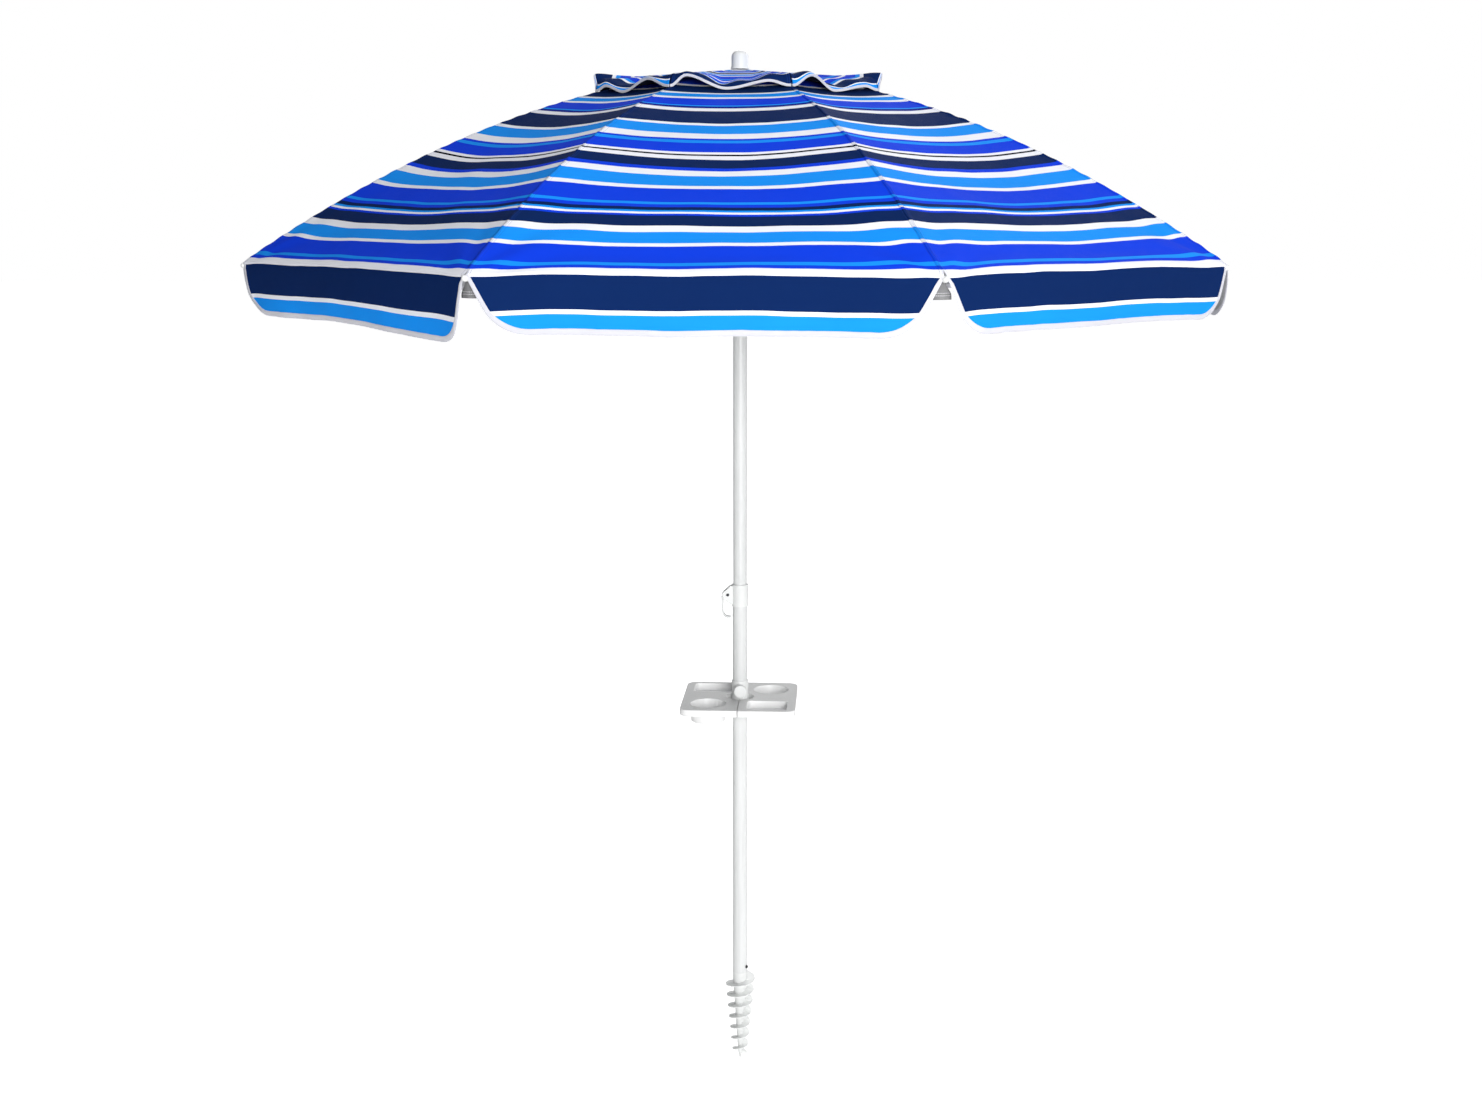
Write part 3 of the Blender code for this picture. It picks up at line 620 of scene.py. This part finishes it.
def creases(number, across, r):
    """Soft folds: slack in the cloth, and pulls that start at the two lower corners."""
    inside = 1 - across * across
    width = r * SIN_HALF
    slack = SLACK_WIDE * noise.noise((across * width * 5 + number * 7.3, r * 7.5, number * 2.9))
    slack += SLACK_FINE * noise.noise((across * width * 14 + number * 3.1, r * 16, number * 1.7))
    pulls = 0.0
    for side in (-1, 1):
        sideways = (1 - side * across) * width
        up = (CANOPY_R - r) + 0.012
        reach = sqrt(sideways**2 + up**2)
        turn = math.atan2(up, sideways + 0.01)
        fold = sin(turn * 8.5 + number * 1.9 + side) * exp(-reach / PULL_REACH) * smooth(reach, 0.0, 0.09)
        pulls += PULL_DEPTH * fold
    return slack * inside * smooth(r, 0.18, 0.4) + pulls * min(1.0, 4 * inside)


def rib_number(number):
    """Ribs are numbered 1 to 8, and the next after 8 is 1."""
    return (number - 1) % RIBS + 1


def gore_point(number, across, r):
    """A point of a gore's upper side. Across runs from -1 at its first rib to 1 at its second."""
    inset = CORNER_INSET * smooth(r, 0.988, CANOPY_R)
    half_width = r * SIN_HALF - inset
    away_first = (1 + across) * r * SIN_HALF
    away_second = (1 - across) * r * SIN_HALF
    z = canopy_z(r) - between(r, SAG) * (1 - across * across)
    z += creases(number, across, r)
    z += seam_pucker(rib_number(number), r, away_first)
    z += seam_pucker(rib_number(number + 1), r, away_second)
    middle = rib_angle(number) + HALF
    return turned_out(middle, r * COS_HALF, across * half_width, z)


def turned_out(angle, out, aside, z):
    return Vector((out * cos(angle) - aside * sin(angle), out * sin(angle) + aside * cos(angle), z))


def flap_rows():
    """(drop, inset of the side edge) down a hanging flap, whose lower corners are round."""
    straight_rows, round_rows = 11, 12
    for n in range(1, straight_rows + 1):
        drop = HEM_STRAIGHT * n / straight_rows
        yield drop, drop * math.tan(HEM_LEAN)
    for n in range(1, round_rows + 1):
        turn = HEM_LEAN + (pi / 2 - HEM_LEAN) * n / round_rows
        drop = HEM_STRAIGHT + HEM_ROUND * (sin(turn) - sin(HEM_LEAN))
        inset = HEM_STRAIGHT * math.tan(HEM_LEAN) + HEM_ROUND * (cos(HEM_LEAN) - cos(turn))
        yield drop, inset


# How far the flap's second lower corner hangs askew on some gores: (aside, down) in metres.
ASKEW = {7: (0.030, 0.016), 1: (0.018, -0.001), 3: (0.010, 0.006), 5: (-0.008, 0.005)}


def flap_point(number, aside, drop):
    """A point of the flap that hangs from a gore's hem, at a distance from the flap's middle line."""
    across = aside / FLAP_HALF
    hem = gore_point(number, across, CANOPY_R)
    share = drop / HEM_DROP
    tuck = -FLAP_TUCK * sin(pi * min(1.0, drop / 0.010))
    wave = FLAP_WAVE * noise.noise((aside * 4.2 + number * 5.1, share * 0.8, number * 1.3))
    wave += FLAP_RIPPLE * noise.noise((aside * 15 + number * 2.2, share * 1.6, number * 4.1))
    belly = FLAP_BELLY * sin(pi * share) - FLAP_IN * share
    out = CANOPY_R * COS_HALF + tuck + belly + wave * 2.2 * share
    middle = rib_angle(number) + HALF
    askew, lower = ASKEW.get(number, (0.0, 0.0))
    pull = share * smooth(across, -0.3, 1.0)
    return turned_out(middle, out, aside + askew * pull, hem.z - drop - lower * pull)


def build_gore(number):
    """A canopy gore with its flap, and the narrow lap of cloth that it lays over the gore before it."""
    across_places = list(columns())
    width = len(across_places)
    radii = [HOLE_R + (CANOPY_R - HOLE_R) * n / ROWS for n in range(ROWS + 1)]
    cloth = Cloth()
    for r in radii:
        for across in across_places:
            seam = (1 - abs(across)) * r * SIN_HALF
            place = (across * r * SIN_HALF, r)
            cloth.add(gore_point(number, across, r), place, seam, (across + 1) / 2)
    for drop, inset in flap_rows():
        for across in across_places:
            aside = across * (FLAP_HALF - inset)
            share = (aside / (CANOPY_R * SIN_HALF) + 1) / 2
            cloth.add(flap_point(number, aside, drop), (aside, CANOPY_R + drop), 1.0, share)
    faces = grid_faces(len(cloth.points) // width - 1, width - 1)

    lap_start = len(cloth.points)
    lap_rows = [n for n, r in enumerate(radii) if r < LAP_END]
    lift = Vector((0, 0, LAP_LIFT))
    for n in lap_rows:
        r = radii[n]
        under = gore_point(number - 1, 1 - LAP / (r * SIN_HALF), r)
        cloth.add(under + lift, (-r * SIN_HALF - LAP, r), LAP, 0.0)
        cloth.points[n * width] += lift
    for n in lap_rows[:-1]:
        faces.append((lap_start + n, lap_start + n + 1, (n + 1) * width, n * width))
    return cloth.build(f"canopy_gore_{number}", faces, [CANOPY, SILVER])


def stored(mesh, name):
    values = [0.0] * len(mesh.vertices)
    mesh.attributes[name].data.foreach_get("value", values)
    return values


def tape_along(name, path, inwards, normals, shares, widths, thickness):
    """A folded tape over a sheet's edge: a flat closed loop in section, wrapped round the edge.

    It gives the piece, and for each of its vertices the share of the way across the gore."""
    points, cloth, weights = [], [], []
    run = 0.0
    half = CLOTH / 2
    for n, (point, inward, normal, share, width) in enumerate(zip(path, inwards, normals, shares, widths)):
        if n:
            run += (point - path[n - 1]).length
        middle = point - normal * half
        wide = width * (1 + 0.06 * noise.noise((run * 60, 0.3, 0)))
        section = (
            (wide, half + thickness * 0.8, 0.0),
            (TAPE_FOLD, half + thickness, wide - TAPE_FOLD),
            (-thickness, half * 0.7, wide),
            (-thickness, -half * 0.7, wide),
            (TAPE_FOLD, -half - thickness, wide - TAPE_FOLD),
            (wide, -half - thickness * 0.8, 0.0),
        )
        for inside, up, place in section:
            points.append(middle + inward * inside + normal * up)
            cloth.append((place, run))
            weights.append(share)
    made = piece(name, points, tube_faces(len(path), len(section)), [BINDING])
    fix_normals(made.data)
    made.data.set_sharp_from_angle(angle=radians(50))
    write_cloth(made.data, cloth)
    return made, weights


def fix_normals(mesh):
    shape = bmesh.new()
    shape.from_mesh(mesh)
    bmesh.ops.recalc_face_normals(shape, faces=shape.faces)
    shape.to_mesh(mesh)
    shape.free()


def build_binding(number):
    """White tape round a flap's two sides and its lower edge. It follows the cloth's own surface."""
    rows = [(0.0, 0.0), *flap_rows()]
    path = [Vector((inset - FLAP_HALF, drop)) for drop, inset in rows]
    drop, inset = rows[-1]
    path += [Vector((across * (FLAP_HALF - inset), drop)) for across in list(columns())[1:-1]]
    path += [Vector((FLAP_HALF - inset, drop)) for drop, inset in reversed(rows)]
    places = [flap_point(number, *spot) for spot in path]
    shares = [(spot.x / (CANOPY_R * SIN_HALF) + 1) / 2 for spot in path]
    inwards, normals = [], []
    out = turned_out(rib_angle(number) + HALF, 1, 0, 0)
    last = len(path) - 1
    for n, (spot, place) in enumerate(zip(path, places)):
        along = (path[min(n + 1, last)] - path[max(n - 1, 0)]).normalized()
        inner = spot + Vector((along.y, -along.x)) * between(spot.y, BINDING_WIDTHS)
        inner = flap_point(number, inner.x, max(0.0, inner.y))
        ahead = places[min(n + 1, last)] - places[max(n - 1, 0)]
        inwards.append((inner - place).normalized())
        normal = ahead.cross(inwards[-1]).normalized()
        normals.append(normal if normal @ out > 0 else -normal)
    widths = [between(spot.y, BINDING_WIDTHS) for spot in path]
    return tape_along(f"flap_binding_{number}", places, inwards, normals, shares, widths, BINDING_THICK)


def build_canopy():
    for number in range(1, RIBS + 1):
        gore = build_gore(number)
        binding, weights = build_binding(number)
        pleat(binding, number, weights)
        pleat(gore, number, stored(gore.data, "share"))
        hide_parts(f"canopy_panel_{number}")


# ---------------------------------------------------------------- vent cap

VENT_ROWS = 30
VENT_HEM_ROWS = 12
VENT_COLUMNS = 48
VENT_SHOULDER = 0.286
VENT_INNER = 0.0105
VENT_HEM = 0.044
VENT_HEM_OUT = 0.017
VENT_HEM_LIFT = 0.0022
VENT_CLEAR = 0.0026
VENT_EASE = 0.0006
VENT_FALL = 0.024
VENT_SAG = 0.019
VENT_RIPPLE = 0.0035
PIPING_WIDTH = 0.0042
PIPING_THICK = 0.0008

# How far the hem of each cap gore stands up from the canopy, across the gore: (place, metres).
RUFFLES = (
    ((-1, 0), (-0.58, 0.024), (-0.04, 0), (0.67, 0.009), (1, 0)),
    ((-1, 0), (-0.70, 0.034), (-0.20, 0.003), (0.45, 0.010), (1, 0)),
    ((-1, 0), (-0.45, 0.016), (0.10, 0.001), (0.60, 0.020), (1, 0)),
    ((-1, 0), (-0.62, 0.021), (0.00, 0), (0.55, 0.012), (1, 0)),
    ((-1, 0), (-0.50, 0.012), (0.05, 0.002), (0.66, 0.022), (1, 0)),
    ((-1, 0), (-0.40, 0.010), (0.15, 0.002), (0.72, 0.034), (1, 0)),
    ((-1, 0), (-0.68, 0.011), (-0.24, 0), (0.46, 0.020), (1, 0)),
    ((-1, 0), (-0.72, 0.022), (-0.07, 0), (0.62, 0.012), (1, 0)),
)


def vent_point(number, across, share):
    """A point of the small cap: share runs from 0 at the crown through 1 at its shoulder to 2 at its hem.

    The hem is tacked to the canopy at the ribs and rests on it halfway, and stands up in ruffles between.
    The cap stays clear of the canopy's cloth under it."""
    phase = number * 2.4
    inside = 1 - across * across
    lift = between(across, RUFFLES[number - 1])
    middle = rib_angle(number) + HALF
    if share <= 1:
        r = VENT_INNER + (VENT_SHOULDER - VENT_INNER) * share
        fall = VENT_FALL + VENT_SAG * inside
        ripple = VENT_RIPPLE * sin(3.4 * pi * across + phase) * inside * share**2
        z = VENT_TOP_Z - fall * share**0.9 + ripple + 0.60 * lift * share**3
        resting = gore_point(number, across, r).z + VENT_CLEAR
        z = (z + resting) / 2 + sqrt(((z - resting) / 2) ** 2 + VENT_EASE**2)
        return turned_out(middle, r * COS_HALF, across * r * SIN_HALF, z)
    lower = share - 1
    top = vent_point(number, across, 1.0)
    hem_r = VENT_SHOULDER + VENT_HEM_OUT
    hem = canopy_z(hem_r) - between(hem_r, SAG) * inside + VENT_HEM_LIFT + lift
    bulge = sin(pi * lower) * (0.003 + 0.16 * lift)
    out = (VENT_HEM_OUT + 0.12 * lift) * lower**0.8 + bulge
    z = top.z + (hem - top.z) * lower**1.2 + 0.3 * bulge
    aside = across * (VENT_SHOULDER + out * 0.8) * SIN_HALF
    return turned_out(middle, VENT_SHOULDER * COS_HALF + out, aside, z)


def build_vent_gore(number, across_places):
    """A gore of the small cap with its hem. The front one was cut a little further up the printed cloth."""
    cloth = Cloth()
    for row in range(VENT_ROWS + VENT_HEM_ROWS + 1):
        share = row / VENT_ROWS if row <= VENT_ROWS else 1 + (row - VENT_ROWS) / VENT_HEM_ROWS
        r = VENT_SHOULDER * min(share, 1.0)
        down = r + max(0.0, share - 1) * VENT_HEM
        if number == RIBS:
            down += FRONT_VENT_SHIFT
        for across in across_places:
            place = (across * r * SIN_HALF, down)
            seam = (1 - abs(across)) * r * SIN_HALF
            cloth.add(vent_point(number, across, share), place, seam, (across + 1) / 2)
    faces = grid_faces(VENT_ROWS + VENT_HEM_ROWS, VENT_COLUMNS)
    # The second material, on the cap's underside, is painted shade.
    return cloth.build(f"vent_gore_{number}", faces, [VENT, SHADE_REVERSE])


def build_vent():
    across_places = [n / VENT_COLUMNS * 2 - 1 for n in range(VENT_COLUMNS + 1)]
    for number in range(1, RIBS + 1):
        gore = build_vent_gore(number, across_places)
        piping, weights = build_piping(number, across_places)
        pleat(piping, number, weights)
        pleat(gore, number, stored(gore.data, "share"))
        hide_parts(f"vent_panel_{number}")


def build_piping(number, across_places):
    """White tape on the cap's hem."""
    places = [vent_point(number, across, 2.0) for across in across_places]
    above = [vent_point(number, across, 1.9) for across in across_places]
    inwards, normals = [], []
    for n, place in enumerate(places):
        ahead = (places[min(n + 1, len(places) - 1)] - places[max(n - 1, 0)]).normalized()
        inward = above[n] - place
        inward = (inward - ahead * (inward @ ahead)).normalized()
        inwards.append(inward)
        normals.append(inward.cross(ahead).normalized())
    if normals[0] @ turned_out(rib_angle(number) + HALF, 1, 0, 0) < 0:
        normals = [-normal for normal in normals]
    shares = [(across + 1) / 2 for across in across_places]
    widths = [PIPING_WIDTH] * len(places)
    return tape_along(f"vent_piping_{number}", places, inwards, normals, shares, widths, PIPING_THICK)


# ---------------------------------------------------------------- small parts at the ribs' ends and joints

# The tip cap's outline along the rib: (distance from the axis, height over the cloth's corner, radius).
TIP_OUTLINE = (
    (0.9690, 0.0053, 0.0026), (0.9693, 0.0052, 0.0034), (0.9710, 0.0042, 0.0040), (0.9780, -0.0002, 0.0042),
    (0.9850, -0.0040, 0.0042), (0.9900, -0.0056, 0.0048), (0.9935, -0.0058, 0.0054),
    (0.9970, -0.0056, 0.0056), (1.0000, -0.0053, 0.0050), (1.0020, -0.0051, 0.0039),
    (1.0032, -0.0050, 0.0022), (1.0036, -0.0050, 0.0006),
)
TIP_SIDES = 20
POCKET_ROWS = 9
POCKET_COLUMNS = 8
POCKET_TOP = -0.0110
POCKET_DROP = 0.027
POCKET_THICK = 0.0008
POCKET_OUT = 0.9905
POCKET_TOP_HALF = 0.0060
POCKET_HEM_HALF = 0.0190
POCKET_HEM = 0.0007
# Half of a rivet's outline, from the middle of its head to its shank: (radius, height over the bracket).
RIVET_HEAD = ((0.0003, 0.0011), (0.0014, 0.0009), (0.0022, 0.0005), (0.0026, 0.0), (0.0013, 0.0))
RIVET_HALF = 0.0029
RIVET_SIDES = 14
JOINT_R = 0.45
JOINT_BELOW = 0.0163


def upright_point(number, r, aside, z):
    """A point of the upright plane through a rib, moved aside from it."""
    return turned_out(rib_angle(number), r, aside, z)


def build_tip(number):
    """The moulded cap on a rib's end: a sleeve on the rod that swells into a knob at the cloth's corner."""
    corner = canopy_z(CANOPY_R)
    path = [(r, corner + height, radius) for r, height, radius in TIP_OUTLINE]
    last = len(path) - 1
    points = []
    for n, (r, z, radius) in enumerate(path):
        before, after = path[max(n - 1, 0)], path[min(n + 1, last)]
        slope = math.atan2(after[1] - before[1], after[0] - before[0])
        for k in range(TIP_SIDES):
            turn = 2 * pi * k / TIP_SIDES
            up = radius * sin(turn)
            place = upright_point(number, r - up * sin(slope), radius * cos(turn), z + up * cos(slope))
            points.append(place)
    made = piece(f"tip_cap_{number}", points, tube_faces(len(path), TIP_SIDES), [PLASTIC])
    fix_normals(made.data)
    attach(made, f"rib_{number}")
    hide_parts(f"rib_tip_{number}")


def build_pocket(number):
    """The sewn pocket that holds a rib's end, which hangs behind the gap between two flaps."""
    top = canopy_z(CANOPY_R) + POCKET_TOP
    points, cloth = [], []
    for row in range(POCKET_ROWS + 1):
        share = row / POCKET_ROWS
        half = between(share, ((0.0, POCKET_TOP_HALF), (0.8, POCKET_HEM_HALF)))
        for column in range(POCKET_COLUMNS + 1):
            aside = (column / POCKET_COLUMNS * 2 - 1) * half
            out = POCKET_OUT - 0.43 * sqrt(aside**2 + 0.004**2) - 0.0020 * share
            out += POCKET_HEM * smooth(share, 0.84, 0.92)
            points.append(upright_point(number, out, aside, top - POCKET_DROP * share))
            cloth.append((aside, POCKET_DROP * share))
    faces = grid_faces(POCKET_ROWS, POCKET_COLUMNS)
    made = piece(f"tip_pocket_{number}", points, faces, [POCKET, POCKET])
    write_cloth(made.data, cloth)
    thicken(made, POCKET_THICK)
    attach(made, f"rib_{number}")


def build_rivet(number):
    """The rivet that pins a stretcher to its rib, with a domed head on each side of the bracket."""
    centre = canopy_z(JOINT_R) - JOINT_BELOW
    head = [(radius, RIVET_HALF + height) for radius, height in RIVET_HEAD]
    outline = head + [(radius, -aside) for radius, aside in reversed(head)]
    points = []
    for radius, aside in outline:
        for k in range(RIVET_SIDES):
            turn = 2 * pi * k / RIVET_SIDES
            r = JOINT_R + radius * cos(turn)
            points.append(upright_point(number, r, aside, centre + radius * sin(turn)))
    made = piece(f"joint_rivet_{number}", points, tube_faces(len(outline), RIVET_SIDES), [BRIGHT])
    fix_normals(made.data)
    made.data.set_sharp_from_angle(angle=radians(40))
    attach(made, f"rib_{number}")


def build_rib_parts():
    for number in range(1, RIBS + 1):
        build_tip(number)
        build_pocket(number)
        build_rivet(number)


# ---------------------------------------------------------------- hard parts kept from the CAD

FINISH = {
    "sand_anchor": PLASTIC, "anchor_screw": DARK, "lower_pole": POLE, "upper_pole": POLE,
    "pole_plug": PLASTIC, "clamp_collar": PLASTIC, "clamp_pin": DARK, "clamp_lever": LEVER,
    "tray_half_left": TRAY, "tray_half_right": TRAY, "tray_collar": PLASTIC,
    "tray_knob": PLASTIC, "crown": PLASTIC, "crown_ring": BRIGHT, "finial": PLASTIC,
    "runner": PLASTIC, "runner_catch": BRIGHT, "catch_spring": BRIGHT,
}
ROUNDING = {
    "tray_half_left": 0.0011, "tray_half_right": 0.0011, "tray_knob": 0.0007, "tray_collar": 0.0006,
    "clamp_collar": 0.0006, "clamp_lever": 0.0009, "finial": 0.0008, "sand_anchor": 0.0007,
    "crown": 0.0004, "runner": 0.0005, "lower_pole": 0.0003, "upper_pole": 0.0003, "pole_plug": 0.0003,
    "anchor_screw": 0.0003, "clamp_pin": 0.0004,
}
ROD_ROUNDING = 0.00015
WELD_GAP = 0.00002


def soften(node, width):
    """Rounds a kept CAD node's edges with modifiers, which leave its own mesh as it is."""
    custom = node.data.attributes.get("custom_normal")
    if custom:
        node.data.attributes.remove(custom)
    node.data.shade_smooth()
    weld = node.modifiers.new("weld", "WELD")
    weld.merge_threshold = WELD_GAP
    edge = node.modifiers.new("edge", "BEVEL")
    edge.width = width
    edge.segments = 2
    edge.limit_method = "ANGLE"
    edge.angle_limit = radians(38 if width > ROD_ROUNDING else 55)
    edge.harden_normals = True
    edge.use_clamp_overlap = True


def finish_cad_nodes():
    """Gives each CAD node that stays its material and its rounded edges."""
    for name, node in NODES.items():
        if name.startswith(("canopy_panel", "vent_panel", "rib_tip")):
            continue
        look = FIBRE if name.startswith(("rib", "stretcher")) else FINISH[name]
        node.data.materials.clear()
        node.data.materials.append(look)
        soften(node, ROUNDING.get(name, ROD_ROUNDING))


# ---------------------------------------------------------------- stage, light and camera

FLOOR_HALF = 40.0
FLOOR_GLOW = 0.16
CAMERA_GLOW = 0.60
SKY_TINT = (0.97, 0.98, 1.0, 1)
SKY_LEFT = 0.04
SKY_RIGHT = 0.50
# (name, place, target, size in metres, power in watts)
LIGHTS = (
    ("front", (1.35, -7.4, 2.35), (0, 0, 1.2), 2.6, 395),
    ("top", (1.0, -3.0, 4.6), (0, -0.3, 1.9), 2.0, 45),
    ("rim", (2.6, 2.8, 3.2), (0, 0, 1.6), 1.8, 40),
    ("back_fill", (0.5, 4.4, 4.6), (0, 0, 1.4), 2.2, 85),
)
LENS = 44.5
CAMERA_PLACE = (-0.045, -3.85, 1.908)
CAMERA_TURN = (79.0, 0, -0.70)


def area_light(name, place, target, size, power):
    data = bpy.data.lights.new(name, "AREA")
    data.size = size
    data.energy = power
    made = bpy.data.objects.new(name, data)
    made.location = place
    aim = Vector(target) - Vector(place)
    made.rotation_euler = aim.to_track_quat("-Z", "Y").to_euler()
    scene.collection.objects.link(made)


def build_stage():
    corners = [(x * FLOOR_HALF, y * FLOOR_HALF, 0) for x, y in ((-1, -1), (1, -1), (1, 1), (-1, 1))]
    floor = piece("studio_floor", corners, [(0, 1, 2, 3)], [floor_paint()], smooth_shaded=False)
    build_world()
    for light in LIGHTS:
        area_light(*light)
    scene.view_settings.view_transform = "Standard"


def build_world():
    """A soft sky that is brighter on the right (+X), and that the camera itself sees as plain white."""
    world = bpy.data.worlds.new("studio")
    world.use_nodes = True
    scene.world = world
    tree = world.node_tree
    lit = tree.nodes["Background"]
    lit.inputs["Color"].default_value = SKY_TINT
    place = tree.nodes.new("ShaderNodeTexCoord")
    apart = tree.nodes.new("ShaderNodeSeparateXYZ")
    fade = tree.nodes.new("ShaderNodeMapRange")
    fade.inputs["From Min"].default_value = -1.0
    fade.inputs["From Max"].default_value = 0.6
    fade.inputs["To Min"].default_value = SKY_LEFT
    fade.inputs["To Max"].default_value = SKY_RIGHT
    tree.links.new(place.outputs["Generated"], apart.inputs[0])
    tree.links.new(apart.outputs[0], fade.inputs["Value"])
    tree.links.new(fade.outputs[0], lit.inputs["Strength"])
    seen = tree.nodes.new("ShaderNodeBackground")
    seen.inputs["Color"].default_value = (1, 1, 1, 1)
    seen.inputs["Strength"].default_value = 1.0
    path = tree.nodes.new("ShaderNodeLightPath")
    mix = tree.nodes.new("ShaderNodeMixShader")
    tree.links.new(path.outputs["Is Camera Ray"], mix.inputs[0])
    tree.links.new(lit.outputs[0], mix.inputs[1])
    tree.links.new(seen.outputs[0], mix.inputs[2])
    tree.links.new(mix.outputs[0], tree.nodes["World Output"].inputs[0])


def floor_paint():
    """A pale floor that glows a little, like a lit studio sweep, and can be seen through from below."""
    paint = Paint("studio_floor", roughness=0.9, specular=0.1)
    paint.colour(paint.steps(paint.noise(0.7, 1), ((0.3, (0.88, 0.88, 0.88)), (0.7, (0.9, 0.9, 0.9)))))
    paint.shader.inputs["Emission Color"].default_value = (1, 1, 1, 1)
    paint.shader.inputs["Emission Strength"].default_value = FLOOR_GLOW
    glow = paint.node("ShaderNodeEmission")
    glow.inputs["Strength"].default_value = CAMERA_GLOW
    both = paint.node("ShaderNodeAddShader")
    paint.link(paint.shader.outputs[0], both.inputs[0])
    paint.link(glow.outputs[0], both.inputs[1])
    seen = paint.node("ShaderNodeMixShader")
    paint.link(paint.node("ShaderNodeLightPath").outputs["Is Camera Ray"], seen.inputs[0])
    paint.link(paint.shader.outputs[0], seen.inputs[1])
    paint.link(both.outputs[0], seen.inputs[2])
    clear = paint.node("ShaderNodeBsdfTransparent")
    side = paint.node("ShaderNodeNewGeometry")
    mix = paint.node("ShaderNodeMixShader")
    paint.link(side.outputs["Backfacing"], mix.inputs[0])
    paint.link(seen.outputs[0], mix.inputs[1])
    paint.link(clear.outputs[0], mix.inputs[2])
    paint.link(mix.outputs[0], paint.tree.nodes["Material Output"].inputs[0])
    return paint.material


def build_camera():
    """The photograph's view, found by fitting the canopy's corners and seams and the pole."""
    data = bpy.data.cameras.new("camera")
    data.lens = LENS
    data.sensor_width = 36.0
    data.sensor_fit = "HORIZONTAL"
    data.clip_end = 200
    made = bpy.data.objects.new("camera", data)
    made.location = CAMERA_PLACE
    made.rotation_euler = [radians(turn) for turn in CAMERA_TURN]
    scene.collection.objects.link(made)
    scene.camera = made


build_camera()
build_stage()
finish_cad_nodes()
build_canopy()
build_vent()
build_rib_parts()
